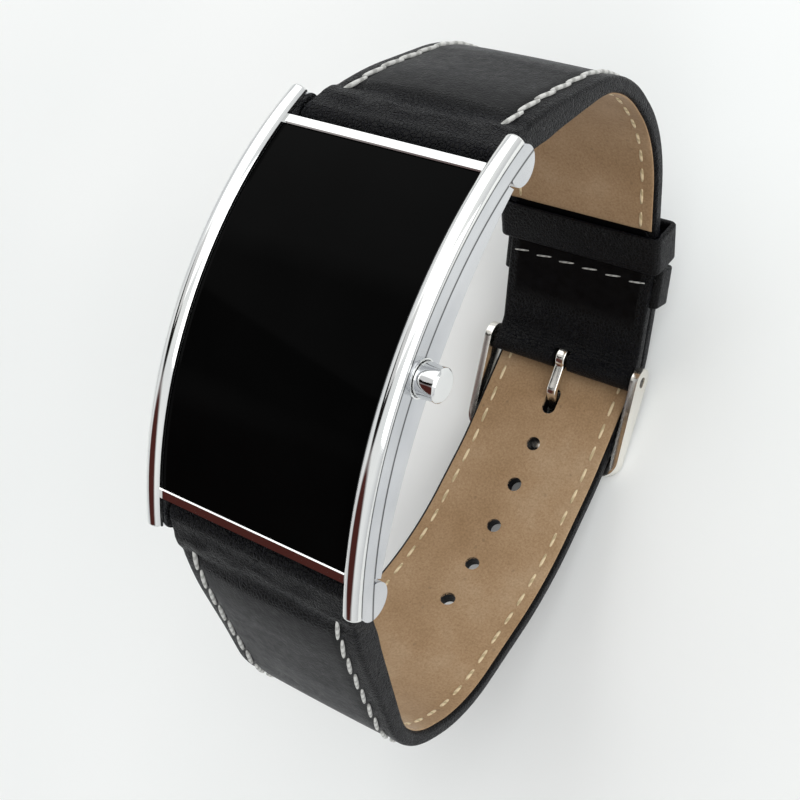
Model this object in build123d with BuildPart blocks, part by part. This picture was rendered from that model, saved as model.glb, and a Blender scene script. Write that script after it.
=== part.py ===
from build123d import *
from math import asin, atan2, cos, degrees, hypot, radians, sin, tan
import os

os.makedirs("parts", exist_ok=True)

# Curved binary watch with its strap closed.
# X points to 3 o'clock, Y to 12 o'clock and Z out of the display.
# Z is 0 at the table: the strap's back and the buckle's crossbar stand on it.
# Side outlines are drawn on the YZ plane, and the case is drawn round the centre of the display's curve.

# Overall sizes
lug_width = 24.0
face_radius = 46.0
face_height = 67.4
face_chord = 39.5
overrun = 2.0

# Fits
seat_gap = 0.05
leather_gap = 0.1
running_gap = 0.05

# Front frame, lens and case middle, as depths below or rises above the display's curve
lens_thickness = 1.1
lens_gasket_thickness = 0.2
rail_width = 2.0
rail_crown = 0.95
rail_inner_rise = 0.45
rail_outer_rise = 0.3
rail_seat_rise = 0.1
rail_end_run = 1.1
rail_end_fillet = 0.3
crossbar_width = 1.2
crossbar_height = 1.0
crossbar_rise = 0.25
crossbar_chamfer = 0.12
seam_depth = 1.8
shelf_width = 1.0
end_shelf_width = 4.6
lug_end_run = 0.6
lug_radius = 2.1

# Case back
back_edge_drop = 4.6
back_end_thickness = 1.2
back_end_inset = 0.5
back_wall = 3.1
pan_half_width = 11.8
pan_margin = 0.3
pan_drop = 7.6
pan_floor = 0.8
pan_corner = 3.0
pan_chamfer = 0.3
pocket_wall = 0.75
pocket_corner = 1.0
gasket_width = 0.5
gasket_height = 0.35
gasket_inset = 0.3
gasket_break = 2.5
screw_reach_x = 8.8
screw_inset = 1.1
screw_post_radius = 1.4
screw_post_drop = 6.5
screw_shank_radius = 0.5
screw_shank_length = 1.8
screw_head_radius = 0.9
screw_head_height = 0.45
screw_slot_width = 0.25
screw_slot_depth = 0.2

# Electronics
holder_half_width = 10.7
holder_end_gap = 0.3
led_board_depth = 2.25
led_board_thickness = 0.4
led_board_half_width = 10.6
led_board_inset = 1.15
led_length = 1.6
led_width = 0.8
led_height = 0.6
led_row_reach = 6.0
led_end_share = 0.27
hour_leds = 4
minute_leds = 6
main_board_drop = 4.25
main_board_thickness = 0.6
main_board_half_width = 9.5
main_board_half_length = 9.8
chip_side = 4.5
chip_height = 0.8
chip_corner = 0.3
crystal_length = 3.2
crystal_width = 1.5
crystal_height = 0.6
crystal_reach = 5.2
battery_radius = 10.0
battery_height = 1.6
battery_cap_radius = 8.9
battery_cap_height = 0.25
contact_thickness = 0.1
contact_length = 6.0
contact_width = 2.4
contact_dimple_radius = 0.7
clip_width = 3.0
clip_thickness = 0.2
clip_lip = 0.9
notch_half_width = 1.6
notch_gap = 0.3
switch_reach = 9.1
switch_thickness = 0.15
switch_height = 2.2
switch_width = 1.8
switch_foot = 1.2

# Push button
button_drop = 2.4
button_reach = 16.5
button_radius = 1.75
button_wall = 0.4
button_roof = 0.5
button_chamfer = 0.25
button_travel = 0.8
cup_radius = 1.85
cup_depth = 1.0
tube_radius = 2.0
tube_proud = 0.1
stem_radius = 0.5
stem_tip_gap = 0.1
seal_radius = 0.17
seal_reach = 12.55
retainer_radius = 0.95
retainer_thickness = 0.2
retainer_groove = 0.15
retainer_reach = 11.95
spring_radius = 0.9
spring_wire_radius = 0.11
spring_turns = 3

# Spring bars
bar_radius = 0.75
bar_wall = 0.2
bar_end_gap = 0.5
tip_radius = 0.4
tip_pin_length = 1.6
tip_shoulder_length = 2.4
lug_hole_depth = 1.3
bar_spring_wall = 0.1

# Strap
strap_side_gap = 0.2
strap_tail_width = 20.8
strap_thickness = 1.8
lining_thickness = 0.7
strap_end_radius = 1.5
strap_end_gap = 0.75
bulge_reach = 9.0
bulge_rise = 0.5
padding_start = 3.0
padding_end = 24.0
padding_margin = 2.4
padding_skin = 0.9
lining_start = 5.0
lining_end_run = 6.2
thread_inset = 1.9
thread_width = 0.7
thread_depth = 0.25
hole_radius = 1.1
hole_pitch = 6.5
prong_slot_length = 3.8
holes_towards_case = 5
holes_towards_tip = 2
tip_length = 10.0

# Closed loop seen from the side: places as shares of the height, and how much of a run a corner rounds
belly_reach = 7.4
belly_radius = 9.0
tail_degrees = 27.0
keeper_degrees = 43.0
tail_straight = 16.3
tail_end_run = 11.0
back_straight = 17.0
lower_loop_shares = ((-0.341, 0.107), (-0.585, 0.312), (-0.629, 0.525))
upper_loop_shares = ((0.577, 0.576),)
upper_run_share = 0.571
small_corner_share = 0.05
back_corner_share = 0.16
side_corner_share = 0.45
bulge_corner_share = 0.4

# Keepers
keeper_width = 5.2
keeper_wall = 0.8
keeper_corner = 0.7
keeper_gap = 0.15
keeper_side_gap = 0.25
keeper_from_corner = 0.6
keeper_tuck = 0.5
keeper_slide = 5.0
fold_seam_share = 0.65

# Buckle
frame_length = 12.8
frame_side_gap = 0.3
arm_thickness = 1.0
ear_radius = 1.9
frame_bar_width = 2.0
frame_bar_height = 1.75
frame_corner = 2.6
buckle_bar_radius = 0.7
buckle_bar_inset = 0.35
fold_wall = 0.85
fold_blend = 2.6
fold_notch_half_width = 1.15
prong_width = 1.4
prong_shank_rise = 0.3
prong_thickness = 1.0
prong_loop_wall = 0.75
prong_bend_radius = 0.9
prong_inner_reach = 4.9
prong_outer_reach = 7.3
prong_overhang = 0.2
prong_notch_gap = 0.15

# Places worked out from the sizes above
half_lug_width = lug_width / 2
half_case_width = half_lug_width + rail_width
face_centre_height = face_height - face_radius
face_centre = (0, face_centre_height)
seam_radius = face_radius - seam_depth
crossbar_base = face_radius + crossbar_rise - crossbar_height
seat_radius = face_radius - lens_thickness - lens_gasket_thickness
lens_half_degrees = degrees(asin(face_chord / 2 / face_radius))
end_wall_degrees = lens_half_degrees + degrees(crossbar_width / face_radius)
lug_centre_radius = face_radius + rail_seat_rise - lug_radius
lug_degrees = end_wall_degrees + degrees(asin((strap_end_radius + strap_end_gap) / lug_centre_radius))
lug_reach = lug_centre_radius * sin(radians(lug_degrees))
lug_end_degrees = lug_degrees + degrees(lug_end_run / face_radius)
rail_end_degrees = lug_degrees + degrees(rail_end_run / face_radius)
shelf_end_degrees = lens_half_degrees - degrees(end_shelf_width / face_radius)
window_reach = face_radius * sin(radians(shelf_end_degrees))
back_end_reach = seam_radius * sin(radians(end_wall_degrees)) - back_end_inset
gasket_end_reach = back_end_reach - gasket_width
screw_reach_y = window_reach + screw_inset
pan_half_length = screw_reach_y + screw_head_radius + pan_margin
pocket_half_length = screw_reach_y - screw_post_radius - seat_gap - pocket_wall
holder_half_length = pocket_half_length - holder_end_gap
button_height = face_height - button_drop
led_board_top = face_radius - led_board_depth
led_board_base = led_board_top - led_board_thickness
led_board_degrees = shelf_end_degrees - degrees(led_board_inset / led_board_top)
led_pitch = 2 * radians(shelf_end_degrees) * led_board_top / (minute_leds + led_end_share)
back_inner_half_width = half_case_width - back_wall
pan_bottom = face_height - pan_drop
pocket_bottom = pan_bottom + pan_floor
main_board_top = face_height - main_board_drop
main_board_base = main_board_top - main_board_thickness
battery_base = pocket_bottom + seat_gap
battery_top = battery_base + battery_height
notch_start = switch_reach - switch_thickness - notch_gap
fold_radius = buckle_bar_radius + running_gap + fold_wall
buckle_reach = belly_reach
buckle_height = strap_thickness + leather_gap + fold_radius
crossbar_reach = buckle_reach - frame_length
strap_lug_half_width = half_lug_width - strap_side_gap
strap_tail_half_width = strap_tail_width / 2
layer_step = strap_thickness + leather_gap


def arc_band(low, high, first, last):
    """Close the band between two radii round the display's centre, by degrees from straight up."""
    under = CenterArc(face_centre, low, 90 - last, last - first)
    over = CenterArc(face_centre, high, 90 - last, last - first)
    Line(under @ 0, over @ 0)
    Line(under @ 1, over @ 1)


def side_height(radius, reach):
    """Height of a circle round the display's centre, at a distance along Y."""
    return face_centre_height + radius * cos(asin(reach / radius))


def radius_of(edge):
    """Distance of an edge's middle from the display's centre, seen from the side."""
    return hypot(edge.center().Y, edge.center().Z - face_centre_height)


def radial_plane(angle, radius=0):
    """Plane at an angle from straight up, with Y going out from the display's centre."""
    out = Vector(0, sin(radians(angle)), cos(radians(angle)))
    along = Vector(0, cos(radians(angle)), -sin(radians(angle)))
    origin = Vector(0, 0, face_centre_height) + out * radius
    return Plane(origin=origin, x_dir=(1, 0, 0), z_dir=-along)


def run(start, length, heading):
    """The point at the end of a straight run, by its heading in degrees from +Y."""
    return start + Vector(cos(radians(heading)), sin(radians(heading))) * length


def shifted(points, distances):
    """Move the corners of an open outline to its left, each by its own distance."""
    corners = [Vector(*point) for point in points]
    runs = [(after - before).normalized() for before, after in zip(corners, corners[1:])]
    lefts = [Vector(-way.Y, way.X) for way in runs]
    moved = []
    for i, corner in enumerate(corners):
        before = lefts[max(i - 1, 0)]
        after = lefts[min(i, len(lefts) - 1)]
        middle = (before + after).normalized()
        moved.append(corner + middle * (distances[i] / middle.dot(before)))
    return moved


def corner_radii(points, shares):
    """Radii that use a share of the shorter run beside each corner."""
    radii = []
    for i, share in enumerate(shares, start=1):
        into = Vector(*points[i]) - Vector(*points[i - 1])
        out = Vector(*points[i + 1]) - Vector(*points[i])
        half_turn = radians(into.get_angle(out)) / 2
        radii.append(share * min(into.length, out.length) / tan(half_turn))
    return radii


def ribbon(outer, outer_radii, inner, inner_radii):
    """Close the outline between two rounded runs of points."""
    over = FilletPolyline(*outer, radius=outer_radii)
    under = FilletPolyline(*inner, radius=inner_radii)
    Line(over @ 0, under @ 0)
    Line(over @ 1, under @ 1)


def strap_half_width(height):
    """Half the strap's width, which narrows evenly from the lugs to the table."""
    return strap_tail_half_width + (strap_lug_half_width - strap_tail_half_width) * height / bar_height


def taper_outline(inset):
    """Close the strap's tapered outline seen from the front, drawn in from its edges."""
    low = -overrun
    high = face_height
    narrow = strap_half_width(low) - inset
    wide = strap_half_width(high) - inset
    Polyline((-narrow, low), (narrow, low), (wide, high), (-wide, high), close=True)


# Spring bars stand in the middle of the lugs, whose rounds meet the rails
bar_height = side_height(lug_centre_radius, lug_reach)
lower_bar = Vector(-lug_reach, bar_height)
upper_bar = Vector(lug_reach, bar_height)

# Loop of the strap: corners of the outer face of each half
bar_side_height = frame_bar_height + leather_gap
back_run = frame_length - frame_bar_width / 2
back_tangent = hypot(back_run, belly_radius - bar_side_height)
back_degrees = degrees(asin(belly_radius / back_tangent) - atan2(belly_radius - bar_side_height, back_run))
belly_half_turn = radians(back_degrees + tail_degrees) / 2
belly_lean = radians(tail_degrees - back_degrees) / 2
belly_out = belly_radius / cos(belly_half_turn)
belly_corner = Vector(belly_reach + belly_out * sin(belly_lean), belly_radius - belly_out * cos(belly_lean))
tail_corner = run(belly_corner, tail_straight, tail_degrees)
tail_tip = run(tail_corner, tail_end_run, keeper_degrees)
back_corner = run(belly_corner, back_straight, 180 - back_degrees)
buckle_axis = Vector(buckle_reach, buckle_height)

lower_bends = [Vector(y * face_height, z * face_height) for y, z in lower_loop_shares]
lower_way = (lower_bends[-1] - lower_bar).normalized()
lower_out = Vector(lower_way.Y, -lower_way.X)
lower_bulge = lower_bar + lower_way * bulge_reach + lower_out * (strap_end_radius + bulge_rise)
lower_outer = [tail_tip, tail_corner, belly_corner, back_corner, *lower_bends, lower_bulge,
               lower_bar + lower_out * strap_end_radius]
lower_radii = corner_radii(lower_outer, (small_corner_share, side_corner_share, back_corner_share,
                                         side_corner_share, side_corner_share, side_corner_share,
                                         bulge_corner_share))
lower_radii[1] = belly_radius
lower_inner = shifted(lower_outer, [-strap_thickness] * len(lower_outer))[:-2]
lower_inner.append(lower_bar - lower_out * strap_end_radius)
lower_inner_radii = [radius - strap_thickness for radius in lower_radii[:-1]]

upper_bends = [Vector(y * face_height, z * face_height) for y, z in upper_loop_shares]
upper_way = (upper_bends[-1] - upper_bar).normalized()
upper_out = Vector(-upper_way.Y, upper_way.X)
upper_bulge = upper_bar + upper_way * bulge_reach + upper_out * (strap_end_radius + bulge_rise)
upper_layer = shifted([belly_corner, tail_corner, tail_tip], [layer_step] * 3)
upper_corner = upper_layer[1]
upper_run = (upper_bends[0] - upper_corner).length * upper_run_share
upper_turn = run(upper_corner, upper_run, keeper_degrees)
fold_tangent = (belly_radius - layer_step) * tan(radians(tail_degrees) / 2)
fold_corner = Vector(buckle_reach + fold_tangent, layer_step)
fold_start = Vector(buckle_reach - seat_gap, layer_step)
upper_outer = [fold_start, fold_corner, upper_corner, upper_turn, *upper_bends, upper_bulge,
               upper_bar + upper_out * strap_end_radius]
upper_radii = corner_radii(upper_outer, (side_corner_share, small_corner_share, side_corner_share,
                                         side_corner_share, bulge_corner_share))
upper_radii[0] = belly_radius - layer_step
upper_inner = shifted(upper_outer, [strap_thickness] * len(upper_outer))[2:-2]
upper_inner.append(upper_bar - upper_out * strap_end_radius)
upper_inner_radii = [radius - strap_thickness for radius in upper_radii[1:-1]]
fold_top = Vector(buckle_reach, buckle_height + fold_radius)
fold_join = run(upper_inner[0], (upper_inner[0] - fold_top).length - fold_blend, 180 + tail_degrees)


# Front frame: two half-round rails and two flat crossbars
with BuildPart() as front_frame:
    with BuildSketch(radial_plane(-rail_end_degrees)):
        with BuildLine():
            foot = Polyline(
                (half_lug_width, face_radius + rail_inner_rise),
                (half_lug_width, face_radius + rail_seat_rise),
                (half_case_width, face_radius + rail_seat_rise),
                (half_case_width, face_radius + rail_outer_rise),
            )
            crown_middle = (half_lug_width + rail_width / 2, face_radius + rail_crown)
            ThreePointArc(foot @ 0, crown_middle, foot @ 1)
        make_face()
    revolve(axis=Axis((0, 0, face_centre_height), (-1, 0, 0)), revolution_arc=2 * rail_end_degrees)
    rail_ends = front_frame.faces().filter_by(GeomType.PLANE).filter_by(Axis.X, reverse=True)
    fillet(rail_ends.edges().filter_by(GeomType.CIRCLE), rail_end_fillet)
    mirror(about=Plane.YZ)
    for first, last in ((-end_wall_degrees, -lens_half_degrees), (lens_half_degrees, end_wall_degrees)):
        with BuildSketch(Plane.YZ):
            with BuildLine():
                arc_band(crossbar_base, crossbar_base + crossbar_height, first, last)
            make_face()
        extrude(amount=half_lug_width, both=True)
    long_edges = front_frame.edges().filter_by(Axis.X).filter_by(lambda edge: edge.length > half_lug_width)
    chamfer(long_edges.filter_by(lambda edge: radius_of(edge) > face_radius), crossbar_chamfer)
front_frame.part.label = "front_frame"
export_step(front_frame.part, "parts/front_frame.step")

# Curved window
with BuildPart() as display_lens:
    with BuildSketch(Plane.YZ):
        with BuildLine():
            reach = lens_half_degrees - degrees(seat_gap / face_radius)
            arc_band(face_radius - lens_thickness, face_radius, -reach, reach)
        make_face()
    extrude(amount=half_lug_width - seat_gap, both=True)
display_lens.part.label = "display_lens"
export_step(display_lens.part, "parts/display_lens.step")

# Adhesive gasket under the window
with BuildPart() as lens_gasket:
    with BuildSketch(Plane.YZ):
        with BuildLine():
            arc_band(seat_radius, face_radius - lens_thickness, -reach, reach)
        make_face()
    extrude(amount=half_lug_width - seat_gap, both=True)
    with BuildSketch(Plane.XY.offset(face_centre_height)):
        Rectangle(2 * (half_lug_width - shelf_width), 2 * window_reach)
    extrude(amount=face_radius, mode=Mode.SUBTRACT)
lens_gasket.part.label = "lens_gasket"
export_step(lens_gasket.part, "parts/lens_gasket.step")

# Case middle: side walls with lugs, end walls, the shelf under the window and posts for the screws
with BuildPart() as case_body:
    with BuildSketch(Plane.YZ.offset(half_lug_width)):
        with BuildLine():
            arc_band(seam_radius, face_radius + rail_seat_rise, -lug_end_degrees, lug_end_degrees)
        make_face()
        with Locations(upper_bar, lower_bar):
            Circle(lug_radius)
    extrude(amount=rail_width)
    with BuildSketch(Plane.YZ.offset(half_lug_width)):
        with Locations(upper_bar, lower_bar):
            Circle(tip_radius + running_gap)
    extrude(amount=lug_hole_depth, mode=Mode.SUBTRACT)
    mirror(about=Plane.YZ)
    with BuildSketch(Plane.YZ):
        with BuildLine():
            arc_band(seam_radius, crossbar_base, -end_wall_degrees, end_wall_degrees)
        make_face()
    extrude(amount=half_lug_width, both=True)
    with BuildSketch(Plane.XY.offset(face_height - screw_post_drop)):
        with GridLocations(2 * screw_reach_x, 2 * screw_reach_y, 2, 2):
            Circle(screw_post_radius)
    extrude(amount=seam_depth + lens_thickness)
    with BuildSketch(Plane.YZ):
        with BuildLine():
            arc_band(seat_radius, face_radius + overrun, -lens_half_degrees, lens_half_degrees)
        make_face()
    extrude(amount=half_lug_width, both=True, mode=Mode.SUBTRACT)
    with BuildSketch(Plane.XY.offset(face_centre_height)):
        Rectangle(2 * (half_lug_width - shelf_width), 2 * window_reach)
    extrude(amount=face_radius, mode=Mode.SUBTRACT)
    with BuildSketch(Plane.YZ.offset(back_inner_half_width)):
        with Locations((0, button_height)):
            Circle(tube_radius)
    extrude(amount=half_case_width, mode=Mode.SUBTRACT)
    with BuildSketch(Plane.XY.offset(face_height - screw_post_drop)):
        with GridLocations(2 * screw_reach_x, 2 * screw_reach_y, 2, 2):
            Circle(screw_shank_radius)
    extrude(amount=screw_shank_length - (pan_drop - screw_head_height - screw_post_drop), mode=Mode.SUBTRACT)
case_body.part.label = "case_body"
export_step(case_body.part, "parts/case_body.step")

# Flat gasket in the seam of the case, open at the button
with BuildPart() as case_back_gasket:
    gasket_outer = back_inner_half_width + gasket_inset + gasket_width
    with BuildSketch(Plane.YZ):
        with BuildLine():
            gasket_degrees = degrees(asin(gasket_end_reach / seam_radius))
            arc_band(seam_radius - gasket_height, seam_radius, -gasket_degrees, gasket_degrees)
        make_face()
    extrude(amount=gasket_outer, both=True)
    with BuildSketch(Plane.XY.offset(face_centre_height)):
        Rectangle(2 * (gasket_outer - gasket_width), 2 * (gasket_end_reach - gasket_width))
        with Locations((gasket_outer, 0)):
            Rectangle(2 * back_wall, 2 * gasket_break)
    extrude(amount=face_radius, mode=Mode.SUBTRACT)
case_back_gasket.part.label = "case_back_gasket"
export_step(case_back_gasket.part, "parts/case_back_gasket.step")

# Case back: a curved flange with a belly at its edge, and a flat pan for the battery
with BuildPart() as case_back:
    with BuildSketch(Plane.XY.offset(pan_bottom)):
        RectangleRounded(2 * pan_half_width, 2 * pan_half_length, pan_corner)
    extrude(amount=pan_drop - seam_depth)
    chamfer(case_back.faces().sort_by(Axis.Z)[0].edges(), pan_chamfer)
    with BuildSketch(Plane.YZ):
        with BuildLine():
            seam_half_degrees = degrees(asin(back_end_reach / seam_radius))
            top = CenterArc(face_centre, seam_radius, 90 - seam_half_degrees, 2 * seam_half_degrees)
            back_end_height = side_height(seam_radius, back_end_reach) - back_end_thickness
            belly = ThreePointArc(
                (back_end_reach, back_end_height),
                (0, face_height - back_edge_drop),
                (-back_end_reach, back_end_height),
            )
            Line(top @ 0, belly @ 0)
            Line(top @ 1, belly @ 1)
        make_face()
    extrude(amount=half_case_width, both=True)
    with BuildSketch(Plane.YZ):
        with BuildLine():
            arc_band(seam_radius, face_radius + overrun, -lug_end_degrees, lug_end_degrees)
        make_face()
    extrude(amount=half_case_width, both=True, mode=Mode.SUBTRACT)
    with BuildSketch(Plane.XY.offset(pocket_bottom)):
        RectangleRounded(2 * back_inner_half_width, 2 * pocket_half_length, pocket_corner)
    extrude(amount=pan_drop, mode=Mode.SUBTRACT)
    with BuildSketch(Plane.YZ.offset(back_inner_half_width)):
        with Locations((0, button_height)):
            Circle(tube_radius)
    extrude(amount=half_case_width, mode=Mode.SUBTRACT)
    with BuildSketch(Plane.XY.offset(face_height - screw_post_drop)):
        with GridLocations(2 * screw_reach_x, 2 * screw_reach_y, 2, 2):
            Circle(screw_post_radius + seat_gap)
    extrude(amount=pan_drop, mode=Mode.SUBTRACT)
    with BuildSketch(Plane.XY.offset(pan_bottom)):
        with GridLocations(2 * screw_reach_x, 2 * screw_reach_y, 2, 2):
            Circle(screw_shank_radius + seat_gap)
    extrude(amount=pan_drop, mode=Mode.SUBTRACT)
    with BuildSketch(Plane.XY.offset(pan_bottom)):
        with GridLocations(2 * screw_reach_x, 2 * screw_reach_y, 2, 2):
            Circle(screw_head_radius + seat_gap)
    extrude(amount=screw_head_height, mode=Mode.SUBTRACT)
    add(case_back_gasket.part, mode=Mode.SUBTRACT)
case_back.part.label = "case_back"
export_step(case_back.part, "parts/case_back.step")

# Four slotted screws
with BuildPart() as case_back_screws:
    with BuildSketch(Plane.XY.offset(pan_bottom)):
        with GridLocations(2 * screw_reach_x, 2 * screw_reach_y, 2, 2):
            Circle(screw_head_radius)
    extrude(amount=screw_head_height)
    with BuildSketch(Plane.XY.offset(pan_bottom + screw_head_height)):
        with GridLocations(2 * screw_reach_x, 2 * screw_reach_y, 2, 2):
            Circle(screw_shank_radius)
    extrude(amount=screw_shank_length)
    with BuildSketch(Plane.XY.offset(pan_bottom)):
        with GridLocations(2 * screw_reach_x, 2 * screw_reach_y, 2, 2):
            Rectangle(2 * screw_head_radius, screw_slot_width)
    extrude(amount=screw_slot_depth, mode=Mode.SUBTRACT)
case_back_screws.part.label = "case_back_screws"
export_step(case_back_screws.part, "parts/case_back_screws.step")

# Battery, a coin cell with its smaller cap on top
with BuildPart() as battery:
    with BuildSketch(Plane.XY.offset(battery_base)):
        Circle(battery_radius)
    extrude(amount=battery_height - battery_cap_height)
    with BuildSketch(Plane.XY.offset(battery_top - battery_cap_height)):
        Circle(battery_cap_radius)
    extrude(amount=battery_cap_height)
battery.part.label = "battery"
export_step(battery.part, "parts/battery.step")

# Plus clip, bent from the battery's side onto the main board
with BuildPart() as battery_clip:
    clip_near = battery_radius + seat_gap
    with BuildSketch(Plane.YZ):
        with BuildLine():
            Polyline(
                (clip_near, battery_base + clip_thickness),
                (clip_near, main_board_top + seat_gap),
                (clip_near - clip_lip, main_board_top + seat_gap),
                (clip_near - clip_lip, main_board_top + seat_gap + clip_thickness),
                (clip_near + clip_thickness, main_board_top + seat_gap + clip_thickness),
                (clip_near + clip_thickness, battery_base + clip_thickness),
                close=True,
            )
        make_face()
    extrude(amount=clip_width / 2, both=True)
battery_clip.part.label = "battery_clip"
export_step(battery_clip.part, "parts/battery_clip.step")

# Minus contact, a leaf under the main board with a dimple on the battery's cap
with BuildPart() as battery_contact:
    with BuildSketch(Plane.XY.offset(main_board_base - contact_thickness)):
        Rectangle(contact_length, contact_width)
    extrude(amount=contact_thickness)
    with BuildSketch(Plane.XY.offset(battery_top)):
        Circle(contact_dimple_radius)
    extrude(amount=main_board_base - contact_thickness - battery_top)
battery_contact.part.label = "battery_contact"
export_step(battery_contact.part, "parts/battery_contact.step")

# Main board
with BuildPart() as main_board:
    with BuildSketch(Plane.XY.offset(main_board_base)):
        Rectangle(2 * main_board_half_width, 2 * main_board_half_length)
    extrude(amount=main_board_thickness)
main_board.part.label = "main_board"
export_step(main_board.part, "parts/main_board.step")

# Driver chip
with BuildPart() as driver_chip:
    with BuildSketch(Plane.XY.offset(main_board_top)):
        RectangleRounded(chip_side, chip_side, chip_corner)
    extrude(amount=chip_height)
driver_chip.part.label = "driver_chip"
export_step(driver_chip.part, "parts/driver_chip.step")

# Quartz crystal in its flat can
with BuildPart() as quartz_crystal:
    with BuildSketch(Plane.XY.offset(main_board_top)):
        with Locations((0, -crystal_reach)):
            Rectangle(crystal_length, crystal_width)
    extrude(amount=crystal_height)
quartz_crystal.part.label = "quartz_crystal"
export_step(quartz_crystal.part, "parts/quartz_crystal.step")

# Leaf that the button's stem pushes
with BuildPart() as switch_contact:
    with BuildSketch(Plane.XZ):
        with BuildLine():
            Polyline(
                (switch_reach, main_board_top),
                (switch_reach, main_board_top + switch_height),
                (switch_reach - switch_thickness, main_board_top + switch_height),
                (switch_reach - switch_thickness, main_board_top + switch_thickness),
                (switch_reach - switch_foot, main_board_top + switch_thickness),
                (switch_reach - switch_foot, main_board_top),
                close=True,
            )
        make_face()
    extrude(amount=switch_width / 2, both=True)
switch_contact.part.label = "switch_contact"
export_step(switch_contact.part, "parts/switch_contact.step")

# Thin curved board that carries the lights
with BuildPart() as led_board:
    with BuildSketch(Plane.YZ):
        with BuildLine():
            arc_band(led_board_base, led_board_top, -led_board_degrees, led_board_degrees)
        make_face()
    extrude(amount=led_board_half_width, both=True)
    with BuildSketch(Plane.XY.offset(face_centre_height)):
        with Locations((notch_start + half_lug_width, 0)):
            Rectangle(2 * half_lug_width, 2 * notch_half_width)
    extrude(amount=face_radius, mode=Mode.SUBTRACT)
led_board.part.label = "led_board"
export_step(led_board.part, "parts/led_board.step")

# Lights: one row for the hours and one for the minutes
with BuildPart() as leds:
    for reach_x, count in ((-led_row_reach, hour_leds), (led_row_reach, minute_leds)):
        for i in range(count):
            angle = degrees(led_pitch / led_board_top) * (i - (count - 1) / 2)
            flat = radial_plane(angle, led_board_top)
            with BuildSketch(Plane(origin=flat.origin, x_dir=flat.x_dir, z_dir=flat.y_dir)):
                with Locations((reach_x, 0)):
                    Rectangle(led_width, led_length)
            extrude(amount=led_height)
leds.part.label = "leds"
export_step(leds.part, "parts/leds.step")

# Movement holder round the main board and the battery
with BuildPart() as movement_holder:
    with BuildSketch(Plane.XY.offset(pocket_bottom + seat_gap)):
        RectangleRounded(2 * holder_half_width, 2 * holder_half_length, pocket_corner)
    extrude(amount=pan_drop)
    with BuildSketch(Plane.YZ):
        with BuildLine():
            arc_band(led_board_base, face_radius + pan_drop, -lug_end_degrees, lug_end_degrees)
        make_face()
    extrude(amount=half_case_width, both=True, mode=Mode.SUBTRACT)
    with BuildSketch(Plane.XY.offset(pocket_bottom)):
        Circle(battery_radius + 2 * seat_gap)
        with Locations((0, battery_radius)):
            Rectangle(clip_width + 2 * seat_gap, 4 * clip_thickness)
    extrude(amount=pan_drop, mode=Mode.SUBTRACT)
    with BuildSketch(Plane.XY.offset(main_board_base - seat_gap)):
        Rectangle(2 * (main_board_half_width + seat_gap), 2 * (main_board_half_length + seat_gap))
    extrude(amount=pan_drop, mode=Mode.SUBTRACT)
    with BuildSketch(Plane.XY.offset(main_board_base - seat_gap)):
        with Locations((notch_start + half_lug_width, 0)):
            Rectangle(2 * half_lug_width, 2 * notch_half_width)
    extrude(amount=pan_drop, mode=Mode.SUBTRACT)
movement_holder.part.label = "movement_holder"
export_step(movement_holder.part, "parts/movement_holder.step")

# Button tube: a pressed-in cup with a bored stem guide and a groove for the seal
with BuildPart() as button_tube:
    with BuildSketch(Plane.YZ.offset(half_lug_width)):
        with Locations((0, button_height)):
            Circle(tube_radius)
            Circle(stem_radius + running_gap, mode=Mode.SUBTRACT)
    extrude(amount=rail_width + tube_proud)
    with BuildSketch(Plane.YZ.offset(half_case_width + tube_proud)):
        with Locations((0, button_height)):
            Circle(cup_radius)
    extrude(amount=-cup_depth, mode=Mode.SUBTRACT)
    with BuildSketch(Plane.YZ.offset(seal_reach - seal_radius)):
        with Locations((0, button_height)):
            Circle(stem_radius + running_gap + 2 * seal_radius)
    extrude(amount=2 * seal_radius, mode=Mode.SUBTRACT)
button_tube.part.label = "button_tube"
export_step(button_tube.part, "parts/button_tube.step")

# Seal ring round the stem
with BuildPart() as button_seal:
    with BuildSketch(Plane.XZ):
        with Locations((seal_reach, button_height + stem_radius + running_gap + seal_radius)):
            Circle(seal_radius)
    revolve(axis=Axis((0, 0, button_height), (1, 0, 0)))
button_seal.part.label = "button_seal"
export_step(button_seal.part, "parts/button_seal.step")

# Push button: hollow cap and stem, with a groove for its retainer
with BuildPart() as push_button:
    cap_foot = half_case_width + tube_proud - running_gap
    with BuildSketch(Plane.YZ.offset(cap_foot)):
        with Locations((0, button_height)):
            Circle(button_radius)
    extrude(amount=button_reach - cap_foot)
    chamfer(push_button.faces().sort_by(Axis.X)[-1].edges(), button_chamfer)
    with BuildSketch(Plane.YZ.offset(cap_foot)):
        with Locations((0, button_height)):
            Circle(button_radius - button_wall)
    extrude(amount=button_reach - button_roof - cap_foot, mode=Mode.SUBTRACT)
    stem_tip = switch_reach + button_travel + stem_tip_gap
    with BuildSketch(Plane.YZ.offset(stem_tip)):
        with Locations((0, button_height)):
            Circle(stem_radius)
    extrude(amount=button_reach - button_roof - stem_tip)
    with BuildSketch(Plane.YZ.offset(retainer_reach - retainer_thickness)):
        with Locations((0, button_height)):
            Circle(stem_radius)
            Circle(stem_radius - retainer_groove, mode=Mode.SUBTRACT)
    extrude(amount=retainer_thickness, mode=Mode.SUBTRACT)
push_button.part.label = "push_button"
export_step(push_button.part, "parts/push_button.step")

# Retaining clip on the stem
with BuildPart() as button_clip:
    with BuildSketch(Plane.YZ.offset(retainer_reach - retainer_thickness)):
        with Locations((0, button_height)):
            Circle(retainer_radius)
            Circle(stem_radius - retainer_groove, mode=Mode.SUBTRACT)
        with Locations((0, button_height - retainer_radius)):
            Rectangle(stem_radius, 2 * retainer_radius, mode=Mode.SUBTRACT)
    extrude(amount=retainer_thickness)
button_clip.part.label = "button_clip"
export_step(button_clip.part, "parts/button_clip.step")

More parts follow.
